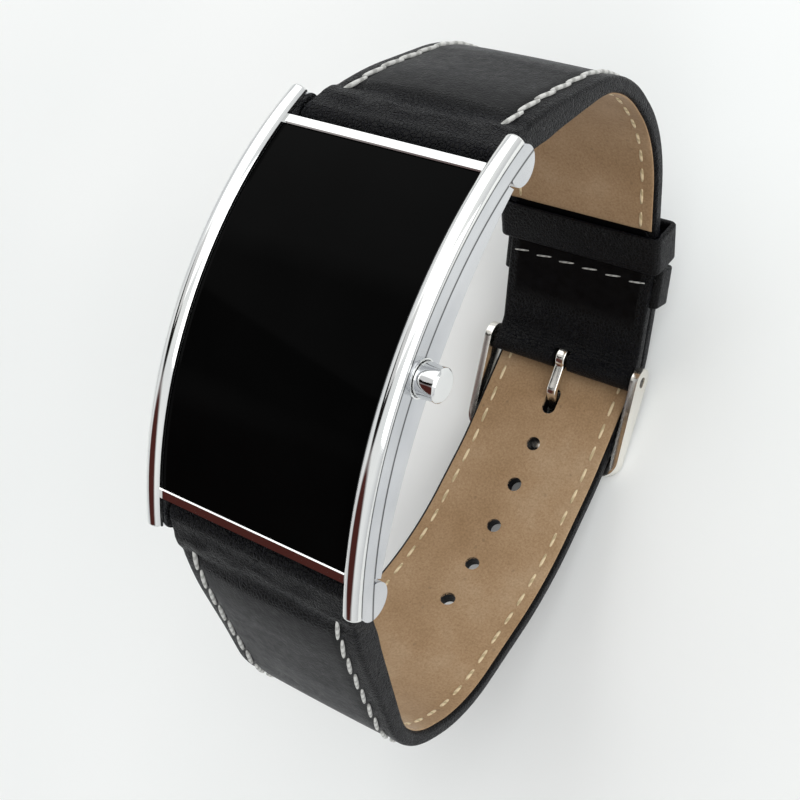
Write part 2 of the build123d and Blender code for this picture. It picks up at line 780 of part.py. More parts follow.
# Return spring between the cup's floor and the cap's roof
with BuildPart() as button_spring:
    spring_foot = half_case_width + tube_proud - cup_depth + spring_wire_radius
    spring_head = button_reach - button_roof - spring_wire_radius
    with BuildLine() as coil:
        Helix(
            pitch=(spring_head - spring_foot) / spring_turns,
            height=spring_head - spring_foot,
            radius=spring_radius,
            center=(spring_foot, 0, button_height),
            direction=(1, 0, 0),
        )
    with BuildSketch(Plane(origin=coil.line @ 0, z_dir=coil.line % 0)):
        Circle(spring_wire_radius)
    sweep()
button_spring.part.label = "button_spring"
export_step(button_spring.part, "parts/button_spring.step")

# Spring bars: a tube, a sprung tip at each end and the spring between the tips
bar_bore = bar_radius - bar_wall
tube_half_length = half_lug_width - bar_end_gap
shoulder_end = tube_half_length - bar_end_gap
shoulder_start = shoulder_end - tip_shoulder_length
for place, centre in (("upper", upper_bar), ("lower", lower_bar)):
    with BuildPart() as bar_tube:
        with BuildSketch(Plane.YZ):
            with Locations(centre):
                Circle(bar_radius)
                Circle(tip_radius + running_gap, mode=Mode.SUBTRACT)
        extrude(amount=tube_half_length, both=True)
        with BuildSketch(Plane.YZ):
            with Locations(centre):
                Circle(bar_bore)
        extrude(amount=shoulder_end, both=True, mode=Mode.SUBTRACT)
    bar_tube.part.label = place + "_bar_tube"
    export_step(bar_tube.part, "parts/" + place + "_bar_tube.step")
    for side, turn in (("right", 1), ("left", -1)):
        with BuildPart() as bar_tip:
            with BuildSketch(Plane.YZ.offset(turn * shoulder_start)):
                with Locations(centre):
                    Circle(bar_bore - running_gap)
            extrude(amount=turn * tip_shoulder_length)
            with BuildSketch(Plane.YZ.offset(turn * shoulder_end)):
                with Locations(centre):
                    Circle(tip_radius)
            extrude(amount=turn * (tip_pin_length + bar_end_gap))
        bar_tip.part.label = place + "_bar_" + side + "_tip"
        export_step(bar_tip.part, "parts/" + place + "_bar_" + side + "_tip.step")
    with BuildPart() as bar_spring:
        with BuildSketch(Plane.YZ):
            with Locations(centre):
                Circle(bar_bore - running_gap)
                Circle(bar_bore - running_gap - bar_spring_wall, mode=Mode.SUBTRACT)
        extrude(amount=shoulder_start - seat_gap, both=True)
    bar_spring.part.label = place + "_bar_spring"
    export_step(bar_spring.part, "parts/" + place + "_bar_spring.step")


def grown(radii, amount):
    """Radii of an outline moved outwards, or inwards where the amount is negative."""
    return [radius + amount for radius in radii]


def strip(outer, outer_radii, inner, inner_radii, inset=0):
    """A strap's layer: its side outline extruded, then tapered and drawn in from the strap's edges."""
    with BuildPart() as layer:
        with BuildSketch(Plane.YZ):
            with BuildLine():
                ribbon(outer, outer_radii, inner, inner_radii)
            make_face()
        extrude(amount=half_lug_width, both=True)
        with BuildSketch(Plane.XZ):
            with BuildLine():
                taper_outline(inset)
            make_face()
        extrude(amount=face_height, both=True, mode=Mode.INTERSECT)
    return layer.part


def seam(surface, surface_radii, under, under_radii):
    """Two lines of thread sunk in one face of the strap, along both its edges."""
    wide = strip(surface, surface_radii, under, under_radii, thread_inset - thread_width / 2)
    narrow = strip(surface, surface_radii, under, under_radii, thread_inset + thread_width / 2)
    with BuildPart() as thread:
        add(wide)
        add(narrow, mode=Mode.SUBTRACT)
    return thread.part


def strap_window(middle, way, length):
    """A block across the strap, with its length along the strap's run."""
    with BuildPart() as window:
        with BuildSketch(Plane.YZ):
            with Locations(Location((middle.X, middle.Y, 0), degrees(atan2(way.Y, way.X)))):
                Rectangle(length, 2 * padding_end)
        extrude(amount=half_lug_width, both=True)
    return window.part


def strap_plane(point, way):
    """Plane on the strap at a point of its side outline, with X across it and Y along it."""
    return Plane(origin=(0, point.X, point.Y), x_dir=(1, 0, 0), z_dir=(0, -way.Y, way.X))


# Side outlines of the lining and the seams of each strap half
upper_lining_inner = [
    run(upper_inner[0], lining_end_run, keeper_degrees),
    *upper_inner[1:-1],
    upper_inner[-1] + (upper_inner[-2] - upper_inner[-1]).normalized() * lining_start,
]
upper_lining_outer = shifted(upper_lining_inner, [-lining_thickness] * len(upper_lining_inner))
upper_lining_radii = upper_inner_radii[1:]
upper_lining_groove = shifted(upper_lining_inner, [-thread_depth] * len(upper_lining_inner))
upper_seam = [
    run(upper_corner, lining_end_run, keeper_degrees),
    *upper_outer[3:-1],
    upper_outer[-1] + (upper_outer[-2] - upper_outer[-1]).normalized() * lining_start,
]
upper_seam_radii = upper_radii[2:]
upper_groove = shifted(upper_seam, [thread_depth] * len(upper_seam))

lower_lining_inner = [
    *lower_inner[:-1],
    lower_inner[-1] + (lower_inner[-2] - lower_inner[-1]).normalized() * lining_start,
]
lower_lining_outer = shifted(lower_lining_inner, [lining_thickness] * len(lower_lining_inner))
lower_lining_radii = lower_inner_radii
lower_lining_seam = [run(lower_inner[0], tip_length, 180 + keeper_degrees), *lower_lining_inner[1:]]
lower_lining_groove = shifted(lower_lining_seam, [thread_depth] * len(lower_lining_seam))
lower_seam = [
    run(tail_tip, tip_length, 180 + keeper_degrees),
    *lower_outer[1:-1],
    lower_outer[-1] + (lower_outer[-2] - lower_outer[-1]).normalized() * lining_start,
]
lower_groove = shifted(lower_seam, [-thread_depth] * len(lower_seam))

# Prong: its two bends, and where it crosses the strap
prong_level = buckle_height + prong_shank_rise
prong_rest = prong_notch_gap + prong_thickness / 2
prong_inner_bend = Vector(buckle_reach - prong_inner_reach, prong_level)
prong_outer_bend = Vector(buckle_reach - prong_outer_reach, prong_rest)
prong_way = prong_outer_bend - prong_inner_bend
back_way = (back_corner - belly_corner).normalized()
back_inward = Vector(back_way.Y, -back_way.X)
back_middle = belly_corner + back_inward * (strap_thickness / 2)
crossing_share = (back_middle - prong_inner_bend).cross(back_way).Z / prong_way.cross(back_way).Z
prong_hole = prong_inner_bend + prong_way * crossing_share - back_inward * (strap_thickness / 2)

# Holes in the strap: a slot for the prong and round holes at even steps along the strap
lower_path = FilletPolyline(*lower_outer, radius=lower_radii)
prong_hole_share = lower_path.param_at_point(prong_hole)
with BuildPart() as strap_holes:
    for i in range(-holes_towards_tip, holes_towards_case + 1):
        share = prong_hole_share + i * hole_pitch / lower_path.length
        with BuildSketch(strap_plane(lower_path @ share, lower_path % share)):
            if i == 0:
                SlotOverall(prong_slot_length, 2 * hole_radius, rotation=90)
            else:
                Circle(hole_radius)
        extrude(amount=strap_thickness + overrun, both=True)

# What is cut away round the strap's tip
with BuildPart() as tip_waste:
    tip_way = Vector(cos(radians(keeper_degrees)), sin(radians(keeper_degrees)))
    tip_half_width = strap_half_width((tail_tip - tip_way * tip_length).Y)
    waste_half_width = tip_half_width + overrun
    with BuildSketch(strap_plane(tail_tip, tip_way)):
        with BuildLine():
            tip_arc = ThreePointArc((-tip_half_width, -tip_length), (0, 0), (tip_half_width, -tip_length))
            Polyline(
                tip_arc @ 0,
                (-waste_half_width, -tip_length),
                (-waste_half_width, overrun),
                (waste_half_width, overrun),
                (waste_half_width, -tip_length),
                tip_arc @ 1,
            )
        make_face()
    extrude(amount=strap_thickness + overrun, both=True)

# Filler that makes each strap half thick beside the case
padding_middle = (padding_start + padding_end) / 2
padding_length = padding_end - padding_start
upper_skin = shifted(upper_outer, [padding_skin] * len(upper_outer))
upper_filler = strip(upper_skin[2:], grown(upper_radii, -padding_skin)[2:], upper_lining_outer,
                     grown(upper_lining_radii, lining_thickness), padding_margin)
upper_window = strap_window(upper_bar + upper_way * padding_middle, upper_way, padding_length)
with BuildPart() as upper_strap_padding:
    add(upper_filler)
    add(upper_window, mode=Mode.INTERSECT)
upper_strap_padding.part.label = "upper_strap_padding"
export_step(upper_strap_padding.part, "parts/upper_strap_padding.step")

lower_skin = shifted(lower_outer, [-padding_skin] * len(lower_outer))
lower_filler = strip(lower_skin[4:], grown(lower_radii, -padding_skin)[4:], lower_lining_outer[4:],
                     grown(lower_lining_radii, -lining_thickness)[4:], padding_margin)
lower_window = strap_window(lower_bar + lower_way * padding_middle, lower_way, padding_length)
with BuildPart() as lower_strap_padding:
    add(lower_filler)
    add(lower_window, mode=Mode.INTERSECT)
lower_strap_padding.part.label = "lower_strap_padding"
export_step(lower_strap_padding.part, "parts/lower_strap_padding.step")

# Thread of the seams, on the outer face and on the lining
upper_outer_seam = seam(upper_seam, upper_seam_radii, upper_groove, grown(upper_seam_radii, -thread_depth))
upper_lining_thread = seam(upper_lining_inner, upper_lining_radii, upper_lining_groove,
                           grown(upper_lining_radii, thread_depth))
with BuildPart() as upper_strap_thread:
    add(upper_outer_seam)
    add(upper_lining_thread)
upper_strap_thread.part.label = "upper_strap_thread"
export_step(upper_strap_thread.part, "parts/upper_strap_thread.step")

lower_outer_seam = seam(lower_seam, lower_radii, lower_groove, grown(lower_radii, -thread_depth))
lower_lining_thread = seam(lower_lining_seam, lower_lining_radii, lower_lining_groove,
                           grown(lower_lining_radii, thread_depth))
with BuildPart() as lower_strap_thread:
    add(lower_outer_seam)
    add(lower_lining_thread)
lower_strap_thread.part.label = "lower_strap_thread"
export_step(lower_strap_thread.part, "parts/lower_strap_thread.step")

# Fixed keeper beside the fold: a band whose ends meet inside the upper strap half
fixed_along = Vector(cos(radians(tail_degrees)), sin(radians(tail_degrees)))
fixed_foot = run(tail_corner, keeper_from_corner + keeper_width, 180 + tail_degrees)
fixed_inner_width = 2 * (strap_half_width((fixed_foot + fixed_along * keeper_width).Y) + keeper_side_gap)
fixed_reach = strap_thickness + leather_gap + (strap_thickness + keeper_tuck) / 2
fixed_depth = keeper_wall + keeper_gap + fixed_reach
fixed_opening = keeper_gap + fixed_reach - keeper_tuck
fixed_plane = Plane(origin=(0, fixed_foot.X, fixed_foot.Y), x_dir=(1, 0, 0),
                    z_dir=(0, fixed_along.X, fixed_along.Y))
with BuildPart() as fixed_keeper:
    with BuildSketch(fixed_plane):
        with Locations((0, fixed_depth / 2 - fixed_reach)):
            RectangleRounded(fixed_inner_width + 2 * keeper_wall, fixed_depth, keeper_corner)
        with Locations((0, keeper_gap - fixed_opening / 2)):
            Rectangle(fixed_inner_width, fixed_opening, mode=Mode.SUBTRACT)
    extrude(amount=keeper_width)
fixed_keeper.part.label = "fixed_keeper"
export_step(fixed_keeper.part, "parts/fixed_keeper.step")

# Free keeper, which slides along the two layers of the strap towards the tip
free_along = Vector(cos(radians(keeper_degrees)), sin(radians(keeper_degrees)))
free_foot = run(tail_corner, keeper_from_corner, keeper_degrees)
free_depth = 2 * strap_thickness + leather_gap + 2 * keeper_gap
free_centre = free_foot + Vector(-free_along.Y, free_along.X) * (free_depth / 2 - keeper_gap)
free_far_end = free_foot + free_along * (keeper_slide + keeper_width)
free_inner_width = 2 * (strap_half_width(free_far_end.Y) + keeper_side_gap)
free_plane = Plane(origin=(0, free_centre.X, free_centre.Y), x_dir=(1, 0, 0),
                   z_dir=(0, free_along.X, free_along.Y))
with BuildPart() as free_keeper:
    with BuildSketch(free_plane):
        RectangleRounded(free_inner_width + 2 * keeper_wall, free_depth + 2 * keeper_wall, keeper_corner)
        Rectangle(free_inner_width, free_depth, mode=Mode.SUBTRACT)
    extrude(amount=keeper_width)
free_keeper.part.label = "free_keeper"
export_step(free_keeper.part, "parts/free_keeper.step")

# Cross seam that closes the leather folded round the buckle's bar, in the middle of the fixed keeper
fold_line = [fold_join, upper_inner[0], run(upper_inner[0], lining_end_run, keeper_degrees)]
fold_groove = shifted(fold_line, [-thread_depth] * len(fold_line))
fold_strip = strip(fold_line, upper_inner_radii[:1], fold_groove,
                   grown(upper_inner_radii[:1], thread_depth), thread_inset - thread_width / 2)
fold_seam_middle = fixed_foot + fixed_along * (keeper_width * fold_seam_share)
fold_window = strap_window(fold_seam_middle, fixed_along, thread_width)
with BuildPart() as fold_thread:
    add(fold_strip)
    add(fold_window, mode=Mode.INTERSECT)
fold_thread.part.label = "fold_thread"
export_step(fold_thread.part, "parts/fold_thread.step")

# Linings
upper_lining_layer = strip(upper_lining_outer, grown(upper_lining_radii, lining_thickness),
                           upper_lining_inner, upper_lining_radii)
with BuildPart() as upper_strap_lining:
    add(upper_lining_layer)
    add(upper_lining_thread, mode=Mode.SUBTRACT)
upper_strap_lining.part.label = "upper_strap_lining"
export_step(upper_strap_lining.part, "parts/upper_strap_lining.step")

lower_lining_layer = strip(lower_lining_outer, grown(lower_lining_radii, -lining_thickness),
                           lower_lining_inner, lower_lining_radii)
with BuildPart() as lower_strap_lining:
    add(lower_lining_layer)
    add(lower_lining_thread, mode=Mode.SUBTRACT)
    add(strap_holes.part, mode=Mode.SUBTRACT)
    add(tip_waste.part, mode=Mode.SUBTRACT)
lower_strap_lining.part.label = "lower_strap_lining"
export_step(lower_strap_lining.part, "parts/lower_strap_lining.step")

# Upper cover, folded round the buckle's bar and stitched back on itself
fold_turn_radius = corner_radii([fold_top, fold_join, upper_inner[0]], [side_corner_share])
upper_cover_inner = [fold_top, fold_join, *upper_inner]
upper_cover_layer = strip(upper_outer, upper_radii, upper_cover_inner, fold_turn_radius + upper_inner_radii)
fold_reach = buckle_bar_radius + running_gap + prong_loop_wall + prong_notch_gap
with BuildPart() as upper_strap_cover:
    add(upper_cover_layer)
    with BuildSketch(Plane.YZ):
        with Locations(upper_bar):
            Circle(strap_end_radius)
    extrude(amount=strap_half_width(bar_height), both=True)
    with BuildSketch(Plane.YZ):
        with Locations(buckle_axis):
            Circle(fold_radius)
    extrude(amount=strap_half_width(buckle_height), both=True)
    with BuildSketch(Plane.YZ):
        with Locations(upper_bar):
            Circle(bar_radius + running_gap)
        with Locations(buckle_axis):
            Circle(buckle_bar_radius + running_gap)
    extrude(amount=half_lug_width, both=True, mode=Mode.SUBTRACT)
    with BuildSketch(Plane.YZ):
        with Locations(buckle_axis + Vector(fold_reach - 2 * fold_radius, 0)):
            Rectangle(4 * fold_radius, 4 * fold_radius)
    extrude(amount=fold_notch_half_width, both=True, mode=Mode.SUBTRACT)
    add(upper_lining_layer, mode=Mode.SUBTRACT)
    add(upper_strap_padding.part, mode=Mode.SUBTRACT)
    add(upper_outer_seam, mode=Mode.SUBTRACT)
    add(fold_thread.part, mode=Mode.SUBTRACT)
    add(fixed_keeper.part, mode=Mode.SUBTRACT)
upper_strap_cover.part.label = "upper_strap_cover"
export_step(upper_strap_cover.part, "parts/upper_strap_cover.step")

# Lower cover, with its holes and its rounded tip
lower_cover_layer = strip(lower_outer, lower_radii, lower_inner, lower_inner_radii)
with BuildPart() as lower_strap_cover:
    add(lower_cover_layer)
    with BuildSketch(Plane.YZ):
        with Locations(lower_bar):
            Circle(strap_end_radius)
    extrude(amount=strap_half_width(bar_height), both=True)
    with BuildSketch(Plane.YZ):
        with Locations(lower_bar):
            Circle(bar_radius + running_gap)
    extrude(amount=half_lug_width, both=True, mode=Mode.SUBTRACT)
    add(lower_lining_layer, mode=Mode.SUBTRACT)
    add(lower_strap_padding.part, mode=Mode.SUBTRACT)
    add(lower_outer_seam, mode=Mode.SUBTRACT)
    add(strap_holes.part, mode=Mode.SUBTRACT)
    add(tip_waste.part, mode=Mode.SUBTRACT)
lower_strap_cover.part.label = "lower_strap_cover"
export_step(lower_strap_cover.part, "parts/lower_strap_cover.step")

# Buckle frame: two arms with round ends, and the crossbar with a notch for the prong's tip
arm_inner = strap_half_width(buckle_height + ear_radius) + frame_side_gap
arm_outer = arm_inner + arm_thickness
with BuildPart() as buckle_frame:
    with BuildSketch(Plane.YZ):
        with Locations(buckle_axis):
            Circle(ear_radius)
        with Locations((crossbar_reach, frame_bar_height / 2)):
            Rectangle(frame_bar_width, frame_bar_height)
        make_hull()
    extrude(amount=arm_outer, both=True)
    with BuildSketch(Plane.XY):
        opening_start = crossbar_reach + frame_bar_width / 2
        opening_end = buckle_reach + ear_radius + overrun
        with Locations((0, (opening_start + opening_end) / 2)):
            opening = Rectangle(2 * arm_inner, opening_end - opening_start)
        fillet(opening.vertices().group_by(Axis.Y)[0], frame_corner)
    extrude(amount=buckle_height + ear_radius, mode=Mode.SUBTRACT)
    with BuildSketch(Plane.YZ):
        with BuildLine():
            under_strap = back_inward * -leather_gap
            over_arms = back_inward * (buckle_height + ear_radius)
            Polyline(
                belly_corner + under_strap,
                back_corner + under_strap,
                back_corner + over_arms,
                belly_corner + over_arms,
                close=True,
            )
        make_face()
    extrude(amount=arm_inner, both=True, mode=Mode.SUBTRACT)
    with BuildSketch(Plane.YZ):
        with Locations(buckle_axis):
            Circle(buckle_bar_radius + running_gap)
    extrude(amount=arm_outer, both=True, mode=Mode.SUBTRACT)
    with BuildSketch(Plane.XY):
        with Locations((0, crossbar_reach)):
            Rectangle(prong_width + 2 * prong_notch_gap, 2 * frame_bar_width)
    extrude(amount=prong_thickness + 2 * prong_notch_gap, mode=Mode.SUBTRACT)
    fillet(buckle_frame.edges().filter_by(Axis.Z).group_by(Axis.Y)[0].sort_by(Axis.X)[0], frame_corner)
    fillet(buckle_frame.edges().filter_by(Axis.Z).group_by(Axis.Y)[0].sort_by(Axis.X)[-1], frame_corner)
buckle_frame.part.label = "buckle_frame"
export_step(buckle_frame.part, "parts/buckle_frame.step")

# Buckle bar, a plain pin between the arms
with BuildPart() as buckle_bar:
    with BuildSketch(Plane.YZ):
        with Locations(buckle_axis):
            Circle(buckle_bar_radius)
    extrude(amount=arm_outer - buckle_bar_inset, both=True)
buckle_bar.part.label = "buckle_bar"
export_step(buckle_bar.part, "parts/buckle_bar.step")

# Prong: a loop round the bar, a bent shank and a tip that lies in the crossbar's notch
prong_line = [
    Vector(buckle_reach, prong_level),
    prong_inner_bend,
    prong_outer_bend,
    Vector(crossbar_reach - frame_bar_width / 2 - prong_overhang, prong_rest),
]
prong_over = shifted(prong_line, [prong_thickness / 2] * len(prong_line))
prong_under = shifted(prong_line, [-prong_thickness / 2] * len(prong_line))
tight = prong_bend_radius - prong_thickness / 2
wide = prong_bend_radius + prong_thickness / 2
with BuildPart() as buckle_prong:
    with BuildSketch(Plane.YZ):
        with BuildLine():
            ribbon(prong_over, [tight, wide], prong_under, [wide, tight])
        make_face()
        with Locations(buckle_axis):
            Circle(buckle_bar_radius + running_gap + prong_loop_wall)
            Circle(buckle_bar_radius + running_gap, mode=Mode.SUBTRACT)
    extrude(amount=prong_width / 2, both=True)
buckle_prong.part.label = "buckle_prong"
export_step(buckle_prong.part, "parts/buckle_prong.step")
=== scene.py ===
from math import cos, exp, hypot, radians, sin, sqrt, tan

import bpy
from mathutils import Matrix, Vector, noise


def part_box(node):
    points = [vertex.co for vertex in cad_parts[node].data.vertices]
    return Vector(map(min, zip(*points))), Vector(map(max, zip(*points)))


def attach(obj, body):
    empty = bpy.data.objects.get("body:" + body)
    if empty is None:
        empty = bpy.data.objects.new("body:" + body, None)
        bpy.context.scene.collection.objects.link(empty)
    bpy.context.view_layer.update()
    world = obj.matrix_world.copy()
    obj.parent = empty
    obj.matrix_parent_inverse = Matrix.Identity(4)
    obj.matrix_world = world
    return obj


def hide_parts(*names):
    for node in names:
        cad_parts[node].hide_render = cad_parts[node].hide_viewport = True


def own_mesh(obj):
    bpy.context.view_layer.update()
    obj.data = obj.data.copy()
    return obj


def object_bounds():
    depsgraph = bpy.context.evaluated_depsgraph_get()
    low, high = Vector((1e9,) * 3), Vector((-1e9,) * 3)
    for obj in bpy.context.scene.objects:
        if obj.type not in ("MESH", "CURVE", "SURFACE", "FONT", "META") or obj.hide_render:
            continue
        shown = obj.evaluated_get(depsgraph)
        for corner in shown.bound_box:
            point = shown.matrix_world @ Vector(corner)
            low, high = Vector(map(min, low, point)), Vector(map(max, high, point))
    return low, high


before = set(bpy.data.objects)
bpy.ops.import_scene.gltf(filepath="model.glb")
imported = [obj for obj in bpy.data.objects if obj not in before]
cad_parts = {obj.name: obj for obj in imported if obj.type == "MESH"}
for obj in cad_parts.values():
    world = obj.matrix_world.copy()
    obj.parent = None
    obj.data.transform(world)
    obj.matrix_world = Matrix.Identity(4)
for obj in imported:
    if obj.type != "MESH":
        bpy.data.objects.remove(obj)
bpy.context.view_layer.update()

# Real sizes in millimetres, as in the part's source
MM = 0.001
FACE_CENTRE = 21.4
BAR_HEIGHT = 59.56
TAIL_HALF_WIDTH = 10.4
LUG_HALF_WIDTH = 11.8
STRAP_THICKNESS = 1.8
STRAP_END_RADIUS = 1.5
FOLD_RADIUS = 1.6
BAR_RADIUS = 0.8
LINING_THICKNESS = 0.5
LINING_PROUD = 0.2
LINING_INSET = 0.45
LINING_START = 5.0
LINING_TIP_GAP = 0.5
TIP_LENGTH = 10.0
KEEPER_WIDTH = 5.2
KEEPER_WALL = 0.8
KEEPER_START = 0.6
KEEPER_SLIDE = 5.0
KEEPER_ROUNDING = 1.0
KEEPER_EDGE = 0.32
KEEPER_SIDE_GAP = 0.25
KEEPER_FACE_GAP = 0.15
FREE_KEEPER_OPENING = 4.2
FIXED_KEEPER_OPENING = 2.7
FIXED_KEEPER_INNER_WALL = 0.5

# The holes, the prong's slot and the notch that lets the prong through the fold
HOLE_RADIUS = 1.0
HOLE_PITCH = 6.5
PRONG_PLACE = 91.2
PRONG_SLOT = 3.8
NOTCH_DEPTH = BAR_RADIUS + 0.85
NOTCH_HALF_WIDTH = 1.15

# Stitches: length, width, height, and slant in degrees
OUTER_STITCH = (3.6, 0.36, 0.6, 8)
LINING_STITCH = (2.2, 0.42, 0.3, 0)
STITCH_PITCH = 3.3
STITCH_SINK = 0.05
SEAM_INSET = 1.9
SEAM_LINE = TAIL_HALF_WIDTH - SEAM_INSET
SEAM_START = 5.2
LINING_SEAM_START = 7.0
CROSS_STITCHES = 6
CROSS_PITCH = 3.4
CROSS_SCALE = (0.62, 0.7, 0.62)
CROSS_FROM_CORNER = 2.2
CROSS_PROUD = 0.06

# Springs: wire radius and turns
BAR_SPRING_WIRE = 0.09
BAR_SPRING_TURNS = 13
BUTTON_SPRING_WIRE = 0.11
BUTTON_SPRING_TURNS = 3

# Fineness of the meshes, and how close two places count as one
STATION = 0.4
DRILL_SIDES = 32
NEAR = 0.01

# Side outlines of the strap halves: corners of the outer face, each with its bend's radius
LOWER_CORNERS = (
    (-23.046, 60.532, 0), (-29.247, 53.990, 50.2), (-42.395, 35.385, 15.2), (-39.429, 21.029, 19.0),
    (-22.983, 7.212, 35.81), (-7.925, 2.440, 35.78), (8.841, -0.367, 9.0), (23.365, 7.034, 3.91),
    (31.410, 14.536, 0),
)
UPPER_CORNERS = (
    (7.35, 1.9, 0), (9.105, 1.9, 7.1), (22.264, 8.605, 5.26), (36.667, 22.036, 21.25),
    (38.890, 38.822, 20.68), (29.152, 53.867, 42.99), (23.062, 60.512, 0),
)
KEEPER_CORNER = Vector((23.365, 7.034))
KEEPER_DEGREES = 43
TAIL_DEGREES = 27


# Modelling

def pick(piece, test, by="VERT"):
    """Select the points or faces of a piece that pass a test, and leave it in edit mode."""
    bpy.ops.object.mode_set(mode="OBJECT")
    bpy.ops.object.select_all(action="DESELECT")
    piece.select_set(True)
    bpy.context.view_layer.objects.active = piece
    mesh = piece.data
    for group in (mesh.vertices, mesh.edges, mesh.polygons):
        group.foreach_set("select", [False] * len(group))
    if by == "VERT":
        for point in mesh.vertices:
            point.select = test(point.co)
    elif by == "EDGE":
        for edge in mesh.edges:
            edge.select = test(*(mesh.vertices[i].co for i in edge.vertices))
    else:
        for face in mesh.polygons:
            face.select = test(face.center, face.normal)
    bpy.context.tool_settings.mesh_select_mode = (by == "VERT", by == "EDGE", by == "FACE")
    bpy.ops.object.mode_set(mode="EDIT")


def done():
    """Leave edit mode."""
    bpy.ops.object.mode_set(mode="OBJECT")


def alone(piece):
    """Make a piece the only selected object."""
    if bpy.context.mode != "OBJECT":
        done()
    bpy.ops.object.select_all(action="DESELECT")
    piece.select_set(True)
    bpy.context.view_layer.objects.active = piece


def modify(piece, kind, **settings):
    """Add a modifier with its settings and apply it."""
    alone(piece)
    modifier = piece.modifiers.new(kind.lower(), kind)
    for name, value in settings.items():
        setattr(modifier, name, value)
    bpy.ops.object.modifier_apply(modifier=modifier.name)


def settle(piece):
    """Put the object's place, turn and scale into its mesh."""
    alone(piece)
    bpy.ops.object.transform_apply(location=True, rotation=True, scale=True)


def tidy_faces(piece):
    """Merge doubled points and turn every face outwards."""
    pick(piece, lambda point: True)
    bpy.ops.mesh.remove_doubles(threshold=0.0005)
    bpy.ops.mesh.normals_make_consistent(inside=False)
    done()


def join(name, pieces):
    """Join pieces into one object."""
    alone(pieces[0])
    for piece in pieces:
        piece.select_set(True)
    bpy.ops.object.join()
    whole = bpy.context.object
    whole.name = whole.data.name = name
    return whole


def copied(piece):
    """A copy with a mesh of its own."""
    alone(piece)
    bpy.ops.object.duplicate()
    return bpy.context.object


def smooth_step(value, low, high):
    """0 below low, 1 above high, and an even curve between."""
    share = min(max((value - low) / (high - low), 0), 1)
    return share * share * (3 - 2 * share)


def bump_at(value, middle, reach):
    """A round hump of height 1."""
    return exp(-((value - middle) / reach) ** 2)


def between(value, places):
    """Height at a value along straight runs between (place, height) pairs."""
    for (x0, y0), (x1, y1) in zip(places, places[1:]):
        if value <= x1:
            return y0 + (y1 - y0) * max(0, (value - x0) / (x1 - x0))
    return places[-1][1]


# Strap outlines

def strap_path(name, corners):
    """Lay a curve along straight runs and round bends, and give how far along it each corner lies."""
    points = [Vector(corner[:2]) for corner in corners]
    knots = [(points[0], None, (points[1] - points[0]) / 3)]
    places = [0.0]
    length = 0.0
    last = points[0]
    for i in range(1, len(points) - 1):
        into = (points[i] - points[i - 1]).normalized()
        out = (points[i + 1] - points[i]).normalized()
        turn = abs(into.angle_signed(out))
        radius = corners[i][2]
        start = points[i] - into * radius * tan(turn / 2)
        end = points[i] + out * radius * tan(turn / 2)
        handle = 4 / 3 * tan(turn / 4) * radius
        straight = (start - last).length
        knots[-1] = (knots[-1][0], knots[-1][1], (start - last) / 3)
        knots.append((start, -(start - last) / 3, into * handle))
        knots.append((end, -out * handle, out))
        places.append(length + straight + radius * turn / 2)
        length += straight + radius * turn
        last = end
    straight = points[-1] - last
    knots[-1] = (knots[-1][0], knots[-1][1], straight / 3)
    knots.append((points[-1], -straight / 3, straight / 3))
    length += straight.length
    places.append(length)
    data = bpy.data.curves.new(name, "CURVE")
    data.dimensions = "2D"
    data.resolution_u = 24
    spline = data.splines.new("BEZIER")
    spline.bezier_points.add(len(knots) - 1)
    for knot, (place, left, right) in zip(spline.bezier_points, knots):
        left = -right if left is None else left
        knot.co = (*place, 0)
        knot.handle_left = (*(place + left), 0)
        knot.handle_right = (*(place + right), 0)
    path = bpy.data.objects.new(name, data)
    bpy.context.scene.collection.objects.link(path)
    return path, places


def bend(piece, path):
    """Bend a flat piece along a strap path, stand it in the watch's axes and draw in its width."""
    modify(piece, "CURVE", object=path, deform_axis="POS_X")
    piece.rotation_euler = (radians(90), 0, radians(90))
    piece.scale = (MM, MM, MM)
    settle(piece)
    heights = [point.co.z for point in piece.data.vertices]
    widening = (LUG_HALF_WIDTH / TAIL_HALF_WIDTH - 1) / (BAR_HEIGHT * MM)
    modify(piece, "SIMPLE_DEFORM", deform_method="TAPER", deform_axis="Z", lock_y=True,
           factor=widening * (max(heights) - min(heights)))


def flat_sheet(name, start, end, half_width):
    """A sheet in rows across the strap, lying along X with its width along Z."""
    rows = round((end - start) / STATION)
    bpy.ops.object.select_all(action="DESELECT")
    bpy.ops.mesh.primitive_grid_add(x_subdivisions=rows, y_subdivisions=40, size=1,
                                    location=((start + end) / 2, 0, 0), rotation=(radians(90), 0, 0))
    sheet = bpy.context.object
    sheet.name = sheet.data.name = name
    sheet.scale = (end - start, 2 * half_width, 1)
    settle(sheet)
    return sheet


def thicken(sheet, thickness):
    """Give a flat sheet its thickness on the inner side."""
    pick(sheet, lambda point: True)
    bpy.ops.mesh.extrude_region_move(TRANSFORM_OT_translate={"value": (0, thickness, 0)})
    bpy.ops.mesh.select_all(action="SELECT")
    bpy.ops.mesh.normals_make_consistent(inside=False)
    done()


def round_edges(piece, test, width, segments):
    """Round the edges that pass a test."""
    pick(piece, test, by="EDGE")
    bpy.ops.mesh.bevel(offset=width, segments=segments, affect="EDGES")
    done()


def reshape(piece, place):
    """Move every point of a piece to the place a rule gives."""
    for point in piece.data.vertices:
        point.co = place(point.co)


def tip_rounding(length, half_width):
    """Rule that draws the end of a sheet into the strap's round tip."""
    radius = (half_width ** 2 + TIP_LENGTH ** 2) / (2 * TIP_LENGTH)
    start = length - TIP_LENGTH - 4

    def place(point):
        x, y, z = point
        if x > start:
            back = radius - sqrt(max(radius ** 2 - z ** 2, 0))
            x = start + (x - start) * (length - back - start) / (length - start)
        return x, y, z
    return place


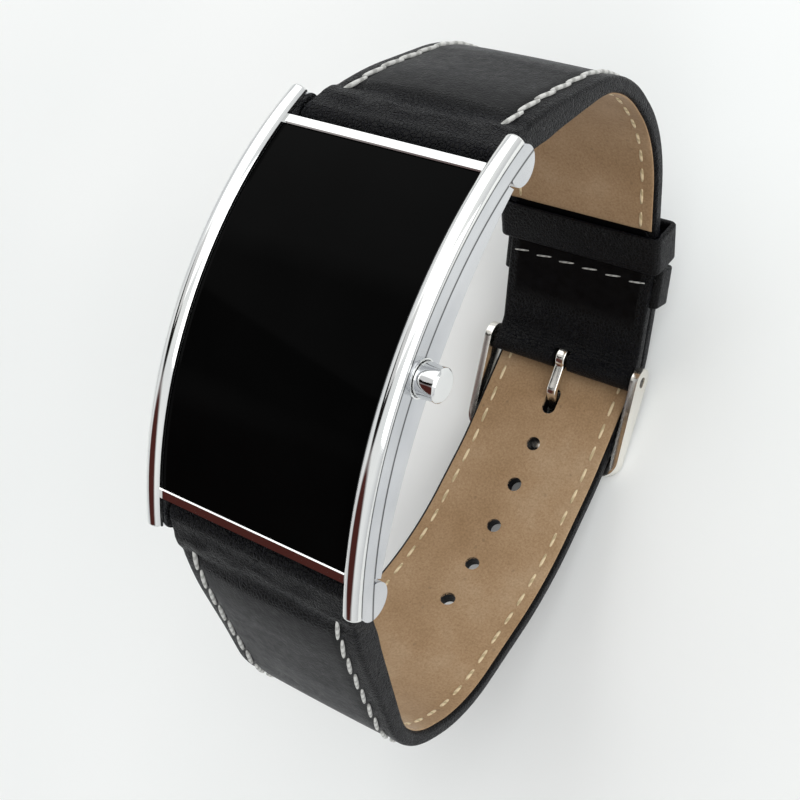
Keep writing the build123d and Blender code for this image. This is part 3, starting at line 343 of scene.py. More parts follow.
def punch(piece, holes):
    """Cut round holes, or slots, through a flat strap piece."""
    for middle, length, radius in holes:
        bpy.ops.object.select_all(action="DESELECT")
        bpy.ops.mesh.primitive_cylinder_add(vertices=DRILL_SIDES, radius=radius, depth=12,
                                            location=(middle, 0, 0),
                                            rotation=(radians(90), radians(180 / DRILL_SIDES), 0))
        drill = bpy.context.object
        settle(drill)
        if length > 2 * radius:
            shift = length / 2 - radius
            pick(drill, lambda point: point.x > middle)
            bpy.ops.transform.translate(value=(shift, 0, 0))
            pick(drill, lambda point: point.x < middle)
            bpy.ops.transform.translate(value=(-shift, 0, 0))
            done()
        modify(piece, "BOOLEAN", operation="DIFFERENCE", object=drill, solver="EXACT")
        bpy.data.objects.remove(drill)


def bar_passage(piece, middle_x, middle_y):
    """Cut the round passage of a bar across a flat strap piece."""
    bpy.ops.object.select_all(action="DESELECT")
    bpy.ops.mesh.primitive_cylinder_add(vertices=DRILL_SIDES, radius=BAR_RADIUS, depth=40,
                                        location=(middle_x, middle_y, 0))
    drill = bpy.context.object
    settle(drill)
    modify(piece, "BOOLEAN", operation="DIFFERENCE", object=drill, solver="EXACT")
    bpy.data.objects.remove(drill)


def padding_relief(from_lug, across):
    """How far the outer face stands up over the padding, at a distance from the bar and across the strap."""
    side = abs(across)
    padded = smooth_step(from_lug, 3.4, 6.5) * (1 - smooth_step(from_lug, 19, 27))
    middle = max(0, 1 - (side / (SEAM_LINE - 0.1)) ** 2) ** 0.6
    crown = (0.1 + 0.36 * padded) * middle * smooth_step(from_lug, 3.4, 6)
    edge = -0.22 * padded * max(0, (side - SEAM_LINE - 0.2) / SEAM_INSET) ** 1.3
    seam = -0.16 * bump_at(side, SEAM_LINE, 0.45) * smooth_step(from_lug, 4, 5)
    ridge = 0.3 * bump_at(from_lug, 2.5, 1.5) - 0.16 * bump_at(from_lug, 4.5, 0.7)
    wrinkle = noise.noise(Vector((from_lug * 0.9, across * 0.35, 3.7))) * 0.2 * bump_at(from_lug, 2.6, 2.2)
    return crown + edge + seam + ridge + wrinkle


def mark_grain(piece, weight):
    """Store how coarse the leather's grain is at every point, from the point's flat place."""
    grain = piece.data.attributes.new("grain", "FLOAT", "POINT")
    for value, point in zip(grain.data, piece.data.vertices):
        value.value = weight(point.co)


def strap_grain(from_lug, across, from_fold):
    """Coarse at the end by the case, outside the seams and where the leather is folded."""
    lug_end = 1 - smooth_step(from_lug, 4, 7)
    strips = smooth_step(abs(across), SEAM_LINE + 0.3, SEAM_LINE + 0.8)
    return max(lug_end, 0.8 * strips, 1 - smooth_step(from_fold, 5, 10))


def strap_leather(name, length, lug_x, thickness_places, far_radius, tip):
    """Leather of one strap half, flat, with its puffed padding and its rounded ends."""
    sheet = flat_sheet(name, 0, length, TAIL_HALF_WIDTH)
    for end, way in ((0, -1), (length, 1)):
        reach = STRAP_END_RADIUS if end == lug_x else far_radius
        if reach:
            pick(sheet, lambda point: abs(point.x - end) < NEAR)
            bpy.ops.mesh.select_mode(type="EDGE")
            bpy.ops.mesh.extrude_region_move(TRANSFORM_OT_translate={"value": (way * reach, 0, 0)})
            done()
    thicken(sheet, STRAP_THICKNESS)

    def inner_face(point):
        x, y, z = point
        if y > STRAP_THICKNESS / 2:
            y = between(abs(x - lug_x), thickness_places)
            if abs(x - lug_x) > length - 8 and not tip:
                y = between(length - abs(x - lug_x), ((0, 2 * FOLD_RADIUS), (4.1, STRAP_THICKNESS)))
            if (x - lug_x) * (1 if lug_x == 0 else -1) < 0:
                y = 2 * STRAP_END_RADIUS
        return x, y, z
    reshape(sheet, inner_face)

    reach = STRAP_END_RADIUS
    lug_end = lug_x - reach if lug_x == 0 else lug_x + reach
    round_edges(sheet, lambda a, b: abs(a.x - lug_end) < NEAR and abs(b.x - lug_end) < NEAR
                and abs(a.y - b.y) < NEAR, reach * 0.97, 6)
    if not tip:
        far_end = -far_radius if lug_x else length + far_radius
        round_edges(sheet, lambda a, b: abs(a.x - far_end) < NEAR and abs(b.x - far_end) < NEAR
                    and abs(a.y - b.y) < NEAR, far_radius * 0.97, 6)
    round_edges(sheet, lambda a, b: abs(abs(a.z) - TAIL_HALF_WIDTH) < NEAR / 10
                and abs(abs(b.z) - TAIL_HALF_WIDTH) < NEAR / 10 and abs(a.y - b.y) < 0.25, 0.42, 3)

    def outer_relief(point):
        x, y, z = point
        from_lug = (x - lug_x) * (1 if lug_x == 0 else -1)
        share = min(max(1 - y / STRAP_THICKNESS, 0), 1)
        return x, y - padding_relief(from_lug, z) * share ** 0.7, z
    reshape(sheet, outer_relief)
    if tip:
        round_edges(sheet, lambda a, b: min(a.x, b.x) > length - NEAR and abs(a.y - b.y) < NEAR, 0.4, 3)
        reshape(sheet, tip_rounding(length, TAIL_HALF_WIDTH))
    return sheet


def strap_lining(name, start, end, face_at, tip_length):
    """Thin lining on the inner face of a strap half, flat."""
    half_width = TAIL_HALF_WIDTH - LINING_INSET
    sheet = flat_sheet(name, start, end, half_width)
    thicken(sheet, LINING_THICKNESS)
    round_edges(sheet, lambda a, b: max(a.y, b.y) > 0 and abs(a.y - b.y) < NEAR and (
        abs(abs(a.z) - half_width) + abs(abs(b.z) - half_width) < NEAR
        or abs(a.x - start) + abs(b.x - start) < NEAR or abs(a.x - end) + abs(b.x - end) < NEAR), 0.16, 2)

    def place(point):
        x, y, z = point
        seam = 0.07 * bump_at(abs(z), SEAM_LINE, 0.5) if y > LINING_THICKNESS / 2 else 0
        return x, y + face_at(x) + LINING_PROUD - LINING_THICKNESS - seam, z
    reshape(sheet, place)
    if tip_length:
        reshape(sheet, tip_rounding(tip_length, half_width))
    return sheet


def stitch(name, length, width, height, slant):
    """One stitch of thick thread: a long bead with blunt ends that dip under the leather."""
    bpy.ops.object.select_all(action="DESELECT")
    bpy.ops.mesh.primitive_uv_sphere_add(segments=10, ring_count=8, radius=0.5,
                                         rotation=(0, radians(90), 0))
    bead = bpy.context.object
    bead.name = bead.data.name = name
    settle(bead)

    def blunt(point):
        x, y, z = point
        swell = max(2 * hypot(y, z), 0.01) ** -0.4
        return x, y * swell, z * swell
    reshape(bead, blunt)
    bead.scale = (length, height, width)
    bead.rotation_euler = (0, radians(slant), 0)
    settle(bead)
    return bead


def stitch_rows(bead, start, end, heights):
    """Stitches at even steps along both seams of a flat strap half."""
    count = int((end - start) / STITCH_PITCH) + 1
    rows = []
    for side in (-1, 1):
        row = copied(bead)
        modify(row, "ARRAY", count=count, use_relative_offset=False, use_constant_offset=True,
               constant_offset_displace=(STITCH_PITCH, 0, 0))
        row.location = (start, 0, side * SEAM_LINE)
        settle(row)
        reshape(row, lambda point: (point.x, point.y + heights(point.x), point.z))
        rows.append(row)
    return rows


# Materials

def linear(code):
    """Turn an sRGB hex colour to linear."""
    channels = [int(code[i:i + 2], 16) / 255 for i in (0, 2, 4)]
    return (*(c / 12.92 if c <= 0.04045 else ((c + 0.055) / 1.055) ** 2.4 for c in channels), 1)


def node(tree, kind, inputs=None, stops=(), **settings):
    """Add a node with its settings, its inputs' values or links and, for a ramp, its (place, hex) stops."""
    new = tree.nodes.new(kind)
    for i, (place, code) in enumerate(stops):
        stop = new.color_ramp.elements[i] if i < 2 else new.color_ramp.elements.new(place)
        stop.position = place
        stop.color = linear(code)
    for name, value in settings.items():
        setattr(new, name, value)
    for name, value in (inputs or {}).items():
        if isinstance(value, bpy.types.NodeSocket):
            tree.links.new(value, new.inputs[name])
        else:
            new.inputs[name].default_value = value
    return new


def new_material(name):
    """A material with only its output, and its tree."""
    material = bpy.data.materials.new(name)
    material.use_nodes = True
    material.node_tree.nodes.clear()
    return material, material.node_tree


def metal(name, color, stain, low, high, scratch, brushed, seams=()):
    """Plated or bare metal: faint stains in its colour, uneven polish and fine lines along the brushing.

    The lines, a few hundredths of a millimetre wide in life, are drawn at 0.5 mm so that they show. The seam
    distances, from the display's centre of curvature, mark joints where a thin line of painted shade darkens
    the gap.
    """
    material, tree = new_material(name)
    place = node(tree, "ShaderNodeTexCoord").outputs["Object"]
    clouds = node(tree, "ShaderNodeTexNoise", {"Vector": place, "Scale": 1 / (9 * MM), "Detail": 4.0})
    lines_place = node(tree, "ShaderNodeMapping", {"Vector": place, "Scale": brushed})
    lines = node(tree, "ShaderNodeTexNoise", {"Vector": lines_place.outputs["Vector"],
                                              "Scale": 1 / (0.5 * MM), "Detail": 3.0})
    tint = node(tree, "ShaderNodeValToRGB", {"Fac": clouds.outputs["Fac"]},
                stops=((0.35, stain), (0.65, color))).outputs["Color"]
    from_axis = node(tree, "ShaderNodeVectorMath", {0: place, 1: (0, 0, -FACE_CENTRE * MM)}, operation="ADD")
    side_view = node(tree, "ShaderNodeVectorMath", {0: from_axis.outputs["Vector"], 1: (0, 1, 1)},
                     operation="MULTIPLY")
    distance = node(tree, "ShaderNodeVectorMath", {0: side_view.outputs["Vector"]}, operation="LENGTH")
    # Painted shade: a thin dark line at each seam's distance stands in for the shadow in the joint's gap
    for seam in seams:
        off = node(tree, "ShaderNodeMath", {0: distance.outputs["Value"], 1: seam * MM}, operation="SUBTRACT")
        away = node(tree, "ShaderNodeMath", {0: off.outputs["Value"]}, operation="ABSOLUTE")
        painted_seam_shade = node(tree, "ShaderNodeMapRange", {"Value": away.outputs["Value"], "From Min": 0.05 * MM,
                                                  "From Max": 0.2 * MM, "To Min": 0.12, "To Max": 1.0})
        tint = node(tree, "ShaderNodeMixRGB", {"Fac": 1.0, "Color1": tint, "Color2": painted_seam_shade.outputs["Result"]},
                    blend_type="MULTIPLY").outputs["Color"]
    rough = node(tree, "ShaderNodeMapRange", {"Value": lines.outputs["Fac"], "From Min": 0.3,
                                              "From Max": 0.7, "To Min": low, "To Max": high})
    bump = node(tree, "ShaderNodeBump", {"Height": lines.outputs["Fac"], "Strength": scratch,
                                         "Distance": 0.02 * MM})
    shader = node(tree, "ShaderNodeBsdfPrincipled", {"Base Color": tint, "Metallic": 1.0,
                                                     "Roughness": rough.outputs["Result"],
                                                     "Normal": bump.outputs["Normal"]})
    node(tree, "ShaderNodeOutputMaterial", {"Surface": shader.outputs["BSDF"]})
    return material


def polished_chrome():
    """Chrome plate over steel, polished: a cool mirror with faint wiping marks."""
    return metal("polished_chrome_plate", "F0F0EE", "E4E5E5", 0.05, 0.1, 0.01, (1, 0.2, 1))


def satin_steel():
    """Stainless steel, brushed along the case: soft streaks between the bright rails, and thin lines of
    painted shade in the gaps of the case's two joints.
    """
    return metal("satin_brushed_steel", "D9DADD", "C6C8CC", 0.14, 0.22, 0.03, (1, 0.08, 1), (46.05, 44.2))


def satin_nickel():
    """Nickel plate on the buckle, tumbled: a warm grey sheen that is worn brighter in places."""
    return metal("tumbled_nickel_plate", "F4F1EA", "E6E2DA", 0.14, 0.22, 0.02, (1, 1, 1))


def spring_steel():
    """Drawn spring steel: darker grey with lines along the wire."""
    return metal("drawn_spring_steel", "A9ABAD", "8F9194", 0.25, 0.38, 0.1, (0.3, 1, 1))


def pin_steel_dark_as_shade():
    """Dull dark grey steel on the buckle's pin: its darkness is painted shade for the pin's recessed ends."""
    return metal("dark_pin_steel_painted_shade", "4C4A48", "363433", 0.35, 0.5, 0.05, (1, 1, 1))


def nickel_contact():
    """Nickel on brass contacts: slightly yellow, with dull handling marks."""
    return metal("nickel_on_brass", "CFC6AE", "B5A988", 0.22, 0.4, 0.08, (1, 1, 1))


def black_glass():
    """Mineral glass printed black on its back: a deep black gloss with a trace of wiped dust."""
    material, tree = new_material("black_backed_mineral_glass")
    place = node(tree, "ShaderNodeTexCoord").outputs["Object"]
    haze = node(tree, "ShaderNodeTexNoise", {"Vector": place, "Scale": 1 / (14 * MM), "Detail": 5.0})
    rough = node(tree, "ShaderNodeMapRange", {"Value": haze.outputs["Fac"], "To Min": 0.04, "To Max": 0.09})
    tint = node(tree, "ShaderNodeValToRGB", {"Fac": haze.outputs["Fac"]},
                stops=((0.3, "040404"), (0.7, "070707")))
    shader = node(tree, "ShaderNodeBsdfPrincipled", {
        "Base Color": tint.outputs["Color"], "Roughness": rough.outputs["Result"],
        "Specular IOR Level": 0.02})
    node(tree, "ShaderNodeOutputMaterial", {"Surface": shader.outputs["BSDF"]})
    return material


def black_leather():
    """Split leather with a pressed and painted face: pores and creases in a soft shine, coarser at its edges.

    The pores, about 0.2 mm wide in life, are drawn at 0.45 mm so that they show.
    """
    material, tree = new_material("black_painted_leather")
    place = node(tree, "ShaderNodeTexCoord").outputs["Object"]
    warp = node(tree, "ShaderNodeTexNoise", {"Vector": place, "Scale": 1 / (1.6 * MM), "Detail": 3.0})
    warped = node(tree, "ShaderNodeMixRGB", {"Fac": 0.0004, "Color1": place, "Color2": warp.outputs["Color"]})
    pores = node(tree, "ShaderNodeTexVoronoi", {"Vector": warped.outputs["Color"], "Scale": 1 / (0.45 * MM)},
                 feature="DISTANCE_TO_EDGE")
    cells = node(tree, "ShaderNodeMapRange", {"Value": pores.outputs["Distance"], "From Max": 0.16})
    creases = node(tree, "ShaderNodeTexNoise", {"Vector": place, "Scale": 1 / (1.1 * MM), "Detail": 6.0,
                                                "Roughness": 0.65})
    height = node(tree, "ShaderNodeMath", {0: creases.outputs["Fac"], 1: 0.9, 2: cells.outputs["Result"]},
                  operation="MULTIPLY_ADD")
    coarse = node(tree, "ShaderNodeAttribute", attribute_name="grain")
    relief = node(tree, "ShaderNodeMapRange", {"Value": coarse.outputs["Fac"], "To Min": 0.12, "To Max": 0.9})
    bump = node(tree, "ShaderNodeBump", {"Height": height.outputs["Value"], "Distance": 0.3 * MM,
                                         "Strength": relief.outputs["Result"]})
    rough = node(tree, "ShaderNodeMapRange", {"Value": creases.outputs["Fac"], "From Min": 0.3,
                                              "From Max": 0.7, "To Min": 0.34, "To Max": 0.48})
    tint = node(tree, "ShaderNodeValToRGB", {"Fac": creases.outputs["Fac"]},
                stops=((0.3, "030303"), (0.7, "080809")))
    gloss = node(tree, "ShaderNodeMapRange", {"Value": coarse.outputs["Fac"], "To Min": 0.1, "To Max": 0.16})
    shader = node(tree, "ShaderNodeBsdfPrincipled", {
        "Base Color": tint.outputs["Color"], "Roughness": rough.outputs["Result"],
        "Specular IOR Level": gloss.outputs["Result"], "Sheen Weight": 0.02, "Sheen Roughness": 0.4,
        "Sheen Tint": linear("8A8CC8"), "Normal": bump.outputs["Normal"]})
    node(tree, "ShaderNodeOutputMaterial", {"Surface": shader.outputs["BSDF"]})
    return material


def tan_suede():
    """Sueded pigskin lining: matt tan with a fine nap, cloudy wear and small dark specks.

    The nap, under 0.1 mm in life, is drawn at 0.3 mm so that it shows.
    """
    material, tree = new_material("tan_suede_lining")
    place = node(tree, "ShaderNodeTexCoord").outputs["Object"]
    clouds = node(tree, "ShaderNodeTexNoise", {"Vector": place, "Scale": 1 / (11 * MM), "Detail": 4.0})
    nap = node(tree, "ShaderNodeTexNoise", {"Vector": place, "Scale": 1 / (0.3 * MM), "Detail": 4.0,
                                            "Roughness": 0.7})
    specks = node(tree, "ShaderNodeTexVoronoi", {"Vector": place, "Scale": 1 / (2.6 * MM),
                                                 "Randomness": 1.0})
    spots = node(tree, "ShaderNodeMapRange", {"Value": specks.outputs["Distance"], "From Min": 0.05,
                                              "From Max": 0.12, "To Min": 0.8, "To Max": 1.0})
    wear = node(tree, "ShaderNodeValToRGB", {"Fac": clouds.outputs["Fac"]},
                stops=((0.3, "9B7D5B"), (0.55, "AE9170"), (0.75, "BDA486")))
    fibre = node(tree, "ShaderNodeValToRGB", {"Fac": nap.outputs["Fac"]},
                 stops=((0.3, "D8D2CA"), (0.7, "FFFFFF")))
    napped = node(tree, "ShaderNodeMixRGB", {"Fac": 1.0, "Color1": wear.outputs["Color"],
                                             "Color2": fibre.outputs["Color"]}, blend_type="MULTIPLY")
    spotted = node(tree, "ShaderNodeMixRGB", {"Fac": 1.0, "Color1": napped.outputs["Color"],
                                              "Color2": spots.outputs["Result"]}, blend_type="MULTIPLY")
    bump = node(tree, "ShaderNodeBump", {"Height": nap.outputs["Fac"], "Strength": 0.5,
                                         "Distance": 0.06 * MM})
    shader = node(tree, "ShaderNodeBsdfPrincipled", {
        "Base Color": spotted.outputs["Color"], "Roughness": 0.82, "Specular IOR Level": 0.25,
        "Sheen Weight": 0.15, "Normal": bump.outputs["Normal"]})
    node(tree, "ShaderNodeOutputMaterial", {"Surface": shader.outputs["BSDF"]})
    return material


def twisted_thread(name, light, dark):
    """Waxed polyester thread, twisted from plies: a pale strand whose colour is darker in the grooves between
    the plies, as painted shade.

    The plies and their fuzz are drawn a little coarser than in life so that they show.
    """
    material, tree = new_material(name)
    place = node(tree, "ShaderNodeTexCoord").outputs["Object"]
    turned = node(tree, "ShaderNodeMapping", {"Vector": place, "Rotation": (0.5, 0.7, 0.4)})
    plies = node(tree, "ShaderNodeTexWave", {"Vector": turned.outputs["Vector"], "Scale": 1 / (2.4 * MM),
                                             "Distortion": 1.2})
    fuzz = node(tree, "ShaderNodeTexNoise", {"Vector": place, "Scale": 1 / (0.15 * MM), "Detail": 3.0})
    height = node(tree, "ShaderNodeMath", {0: plies.outputs["Fac"], 1: fuzz.outputs["Fac"]}, operation="ADD")
    bump = node(tree, "ShaderNodeBump", {"Height": height.outputs["Value"], "Strength": 0.4,
                                         "Distance": 0.05 * MM})
    # Painted shade: the colour is darker in the grooves between the plies
    tint = node(tree, "ShaderNodeValToRGB", {"Fac": plies.outputs["Fac"]}, stops=((0.15, dark), (0.5, light)))
    shader = node(tree, "ShaderNodeBsdfPrincipled", {
        "Base Color": tint.outputs["Color"], "Roughness": 0.5, "Sheen Weight": 0.2,
        "Normal": bump.outputs["Normal"]})
    node(tree, "ShaderNodeOutputMaterial", {"Surface": shader.outputs["BSDF"]})
    return material


def plastic(name, light, dark, roughness, grain):
    """Moulded or cast material: a faint mottle in its colour and the fine texture of its mould.

    The texture's grain, in millimetres, is as coarse as it needs to be to show.
    """
    material, tree = new_material(name)
    place = node(tree, "ShaderNodeTexCoord").outputs["Object"]
    mottle = node(tree, "ShaderNodeTexNoise", {"Vector": place, "Scale": 1 / (3 * MM), "Detail": 4.0})
    texture = node(tree, "ShaderNodeTexNoise", {"Vector": place, "Scale": 1 / (grain * MM), "Detail": 2.0})
    rough = node(tree, "ShaderNodeMapRange", {"Value": texture.outputs["Fac"],
                                              "To Min": roughness - 0.08, "To Max": roughness + 0.08})
    bump = node(tree, "ShaderNodeBump", {"Height": texture.outputs["Fac"], "Strength": 0.2,
                                         "Distance": 0.03 * MM})
    tint = node(tree, "ShaderNodeValToRGB", {"Fac": mottle.outputs["Fac"]}, stops=((0.3, dark), (0.7, light)))
    shader = node(tree, "ShaderNodeBsdfPrincipled", {
        "Base Color": tint.outputs["Color"], "Roughness": rough.outputs["Result"],
        "Normal": bump.outputs["Normal"]})
    node(tree, "ShaderNodeOutputMaterial", {"Surface": shader.outputs["BSDF"]})
    return material


chrome = polished_chrome()
steel = satin_steel()
nickel = satin_nickel()
sprung = spring_steel()
pin = pin_steel_dark_as_shade()
contact = nickel_contact()
glass = black_glass()
leather = black_leather()
lining = tan_suede()
thread = twisted_thread("pale_waxed_thread", "CCCCC8", "A2A29E")
bobbin_thread = twisted_thread("straw_waxed_thread", "DAC6A0", "B29E78")
rubber = plastic("black_seal_rubber", "1C1C1C", "111111", 0.7, 0.2)
board = plastic("green_glass_epoxy_board", "1F5B3A", "164A2E", 0.45, 0.25)
resin = plastic("red_tinted_led_resin", "A02C28", "7A1D1B", 0.25, 0.4)
holder = plastic("white_moulded_acetal", "D9D8D2", "C9C8C1", 0.5, 0.3)
chip = plastic("black_moulded_epoxy", "1B1B1D", "131314", 0.55, 0.15)
filler = plastic("grey_felt_filler", "77736C", "5F5B55", 0.9, 0.35)


def dress(names, material):
    """Give CAD nodes a material."""
    for name in names:
        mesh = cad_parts[name].data
        mesh.materials.clear()
        mesh.materials.append(material)


dress(("front_frame", "push_button", "button_tube"), chrome)
dress(("case_body", "case_back", "case_back_screws"), steel)
dress(("buckle_frame", "buckle_prong"), nickel)
# The pin's dark grey is painted shade for its recessed ends in the buckle
dress(("buckle_bar",), pin)
dress(("upper_bar_tube", "lower_bar_tube", "upper_bar_left_tip", "upper_bar_right_tip",
       "lower_bar_left_tip", "lower_bar_right_tip", "upper_bar_spring", "lower_bar_spring",
       "button_spring", "button_clip"), sprung)
dress(("battery", "battery_contact", "battery_clip", "switch_contact", "quartz_crystal"), contact)
dress(("display_lens",), glass)
dress(("lens_gasket", "case_back_gasket", "button_seal"), rubber)
dress(("led_board", "main_board"), board)
dress(("leds",), resin)
dress(("movement_holder",), holder)
dress(("driver_chip",), chip)
dress(("upper_strap_cover", "lower_strap_cover", "fixed_keeper", "free_keeper"), leather)
dress(("upper_strap_lining", "lower_strap_lining"), lining)
dress(("upper_strap_thread", "lower_strap_thread", "fold_thread"), thread)
dress(("upper_strap_padding", "lower_strap_padding"), filler)


def finish_piece(piece, material, body, slot, *nodes):
    """Give a piece its material, its soft shading, its body and the CAD nodes it stands for."""
    alone(piece)
    if material:
        piece.data.materials.clear()
        piece.data.materials.append(material)
    bpy.ops.object.shade_smooth_by_angle(angle=radians(42))
    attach(piece, body)
    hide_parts(*nodes)


def eased(node_name, name, material, body, slot, width):
    """A copy of a CAD node with its sharp edges eased, as tumbling and polishing leave them."""
    piece = copied(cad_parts[node_name])
    for key in list(piece.keys()):
        del piece[key]
    piece.parent = None
    piece.name = piece.data.name = name
    pick(piece, lambda point: True)
    bpy.ops.mesh.customdata_custom_splitnormals_clear()
    bpy.ops.mesh.remove_doubles(threshold=0.001 * MM)
    bpy.ops.mesh.dissolve_limited(angle_limit=radians(0.5))
    done()
    modify(piece, "BEVEL", width=width * MM, segments=3, limit_method="ANGLE", angle_limit=radians(35))
    finish_piece(piece, material, body, slot, node_name)
    return piece


eased("case_body", "case_middle", steel, "case", "brushed_steel", 0.14)
eased("case_back", "case_back_shell", steel, "case", "brushed_steel", 0.14)
eased("buckle_frame", "buckle_plate", nickel, "buckle_frame", "buckle_nickel", 0.3)
eased("buckle_prong", "buckle_tongue", nickel, "buckle_prong", "buckle_nickel", 0.28)
eased("push_button", "button_cap", chrome, "push_button", "bright_steel", 0.12)


def coil(name, node_name, ends, wire_radius, turns):
    """A wound spring along X between two ends, as thick as a CAD node."""
    low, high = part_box(node_name)
    wire = wire_radius * MM
    length = ends[1] - ends[0]
    bpy.ops.object.select_all(action="DESELECT")
    bpy.ops.mesh.primitive_circle_add(vertices=8, radius=wire, rotation=(radians(90), 0, 0),
                                      location=(0, 0, (high[1] - low[1]) / 2 - wire))
    piece = bpy.context.object
    piece.name = piece.data.name = name
    settle(piece)
    modify(piece, "SCREW", axis="X", iterations=turns, screw_offset=(length - 2 * wire) / turns,
           steps=20, render_steps=20)
    pick(piece, lambda point: True)
    bpy.ops.mesh.fill_holes(sides=0)
    bpy.ops.mesh.normals_make_consistent(inside=False)
    done()
    middle = (low[1] + high[1]) / 2, (low[2] + high[2]) / 2
    piece.location = (ends[0] + wire, *middle)
    settle(piece)
    finish_piece(piece, sprung, "case", "brushed_steel", node_name)
    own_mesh(piece)


# Each tip of a spring bar shortens its half of the spring, and the cap shortens the button's spring
for bar in ("upper_bar", "lower_bar"):
    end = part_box(bar + "_spring")[1][0]
    coil(bar + "_left_coil", bar + "_spring", (-end, 0), BAR_SPRING_WIRE, BAR_SPRING_TURNS)
    coil(bar + "_right_coil", bar + "_spring", (0, end), BAR_SPRING_WIRE, BAR_SPRING_TURNS)
low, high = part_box("button_spring")
coil("button_coil", "button_spring", (low[0], high[0]), BUTTON_SPRING_WIRE, BUTTON_SPRING_TURNS)

# Lower strap half, from the bar to the tip; the tables give its thickness at distances from the bar
lower_path, lower_places = strap_path("lower_path", LOWER_CORNERS)
lower_length = lower_places[-1]
lower_thickness = ((0, 3.0), (9, 3.5), (29, 1.9), (33, STRAP_THICKNESS), (500, STRAP_THICKNESS))
# Two holes lie past the prong's slot, towards the tip, and five before it
lower_holes = [(PRONG_PLACE - i * HOLE_PITCH, PRONG_SLOT if i == 0 else 0, HOLE_RADIUS) for i in range(-2, 6)]
lower_leather = strap_leather("lower_strap_leather", lower_length, 0, lower_thickness, 0, True)
bar_passage(lower_leather, 0, STRAP_END_RADIUS)
punch(lower_leather, lower_holes)
lining_tip = lower_length - LINING_TIP_GAP
lower_lining = strap_lining("lower_strap_suede", LINING_START, lining_tip,
                            lambda x: between(x, lower_thickness), lining_tip)
punch(lower_lining, lower_holes)
bead = stitch("outer_stitch", *OUTER_STITCH)
bead.data.materials.append(thread)
dash = stitch("lining_stitch", *LINING_STITCH)
dash.data.materials.append(bobbin_thread)
lower_rows = stitch_rows(bead, SEAM_START, lower_length - TIP_LENGTH, lambda x: -STITCH_SINK)
lower_rows += stitch_rows(dash, LINING_SEAM_START, lower_length - TIP_LENGTH,
                          lambda x: between(x, lower_thickness) + LINING_PROUD - STITCH_SINK)
lower_stitches = join("lower_strap_stitches", lower_rows)

# Upper strap half, from the buckle's bar to the case
upper_path, upper_places = strap_path("upper_path", UPPER_CORNERS)
upper_length = upper_places[-1]
upper_thickness = ((0, 3.0), (9, 3.5), (24, 1.9), (28, STRAP_THICKNESS), (500, STRAP_THICKNESS))
lining_edge = upper_places[2] + KEEPER_START + KEEPER_WIDTH + 0.4


def upper_face(x):
    """Height of the upper half's inner face."""
    return between(upper_length - x, upper_thickness)


upper_leather = strap_leather("upper_strap_leather", upper_length, upper_length, upper_thickness,
                              FOLD_RADIUS, False)
bar_passage(upper_leather, upper_length, STRAP_END_RADIUS)
bar_passage(upper_leather, 0, FOLD_RADIUS)
upper_lining = strap_lining("upper_strap_suede", lining_edge, upper_length - LINING_START, upper_face, 0)
bpy.ops.object.select_all(action="DESELECT")
bpy.ops.mesh.primitive_cube_add(size=1)
notch = bpy.context.object
notch.scale = (8, 12, 2 * NOTCH_HALF_WIDTH)
notch.location = (NOTCH_DEPTH - 4, 0, 0)
settle(notch)
modify(upper_leather, "BOOLEAN", operation="DIFFERENCE", object=notch, solver="EXACT")
bpy.data.objects.remove(notch)
seam_end = upper_length - SEAM_START
seam_start = seam_end - STITCH_PITCH * int((seam_end - LINING_START) / STITCH_PITCH)
upper_rows = stitch_rows(bead, seam_start, seam_end + STITCH_PITCH / 30, lambda x: -STITCH_SINK)
upper_rows += stitch_rows(dash, lining_edge + 1.5, upper_length - LINING_SEAM_START,
                          lambda x: upper_face(x) + LINING_PROUD - STITCH_SINK)
upper_stitches = join("upper_strap_stitches", upper_rows)

# Cross seam of the leather folded round the buckle's bar
cross = copied(bead)
cross.scale = CROSS_SCALE
settle(cross)
cross.rotation_euler = (0, radians(90), 0)
settle(cross)
modify(cross, "ARRAY", count=CROSS_STITCHES, use_relative_offset=False, use_constant_offset=True,
       constant_offset_displace=(0, 0, CROSS_PITCH))
cross.location = (upper_places[2] - CROSS_FROM_CORNER, STRAP_THICKNESS + CROSS_PROUD,
                  -CROSS_PITCH * (CROSS_STITCHES - 1) / 2)
settle(cross)
cross.name = cross.data.name = "fold_stitches"

for piece in (bead, dash):
    bpy.data.objects.remove(piece)
mark_grain(lower_leather, lambda point: strap_grain(point.x, point.z, 100))
mark_grain(upper_leather, lambda point: strap_grain(upper_length - point.x, point.z, point.x))
for piece, path in ((lower_leather, lower_path), (lower_lining, lower_path), (lower_stitches, lower_path),
                    (upper_leather, upper_path), (upper_lining, upper_path), (upper_stitches, upper_path),
                    (cross, upper_path)):
    bend(piece, path)
for path in (lower_path, upper_path):
    bpy.data.objects.remove(path)

finish_piece(lower_leather, leather, "case", "black_leather", "lower_strap_cover", "lower_strap_padding")
finish_piece(upper_leather, leather, "case", "black_leather", "upper_strap_cover", "upper_strap_padding")
finish_piece(lower_lining, lining, "case", "tan_leather", "lower_strap_lining")
finish_piece(upper_lining, lining, "case", "tan_leather", "upper_strap_lining")
finish_piece(lower_stitches, None, "case", "pale_thread", "lower_strap_thread")
finish_piece(upper_stitches, None, "case", "pale_thread", "upper_strap_thread")
finish_piece(cross, thread, "case", "pale_thread", "fold_thread")


def along_run(start, length, heading):
    """A point at a distance and heading from another, in the side view."""
    return start + Vector((cos(radians(heading)), sin(radians(heading)))) * length


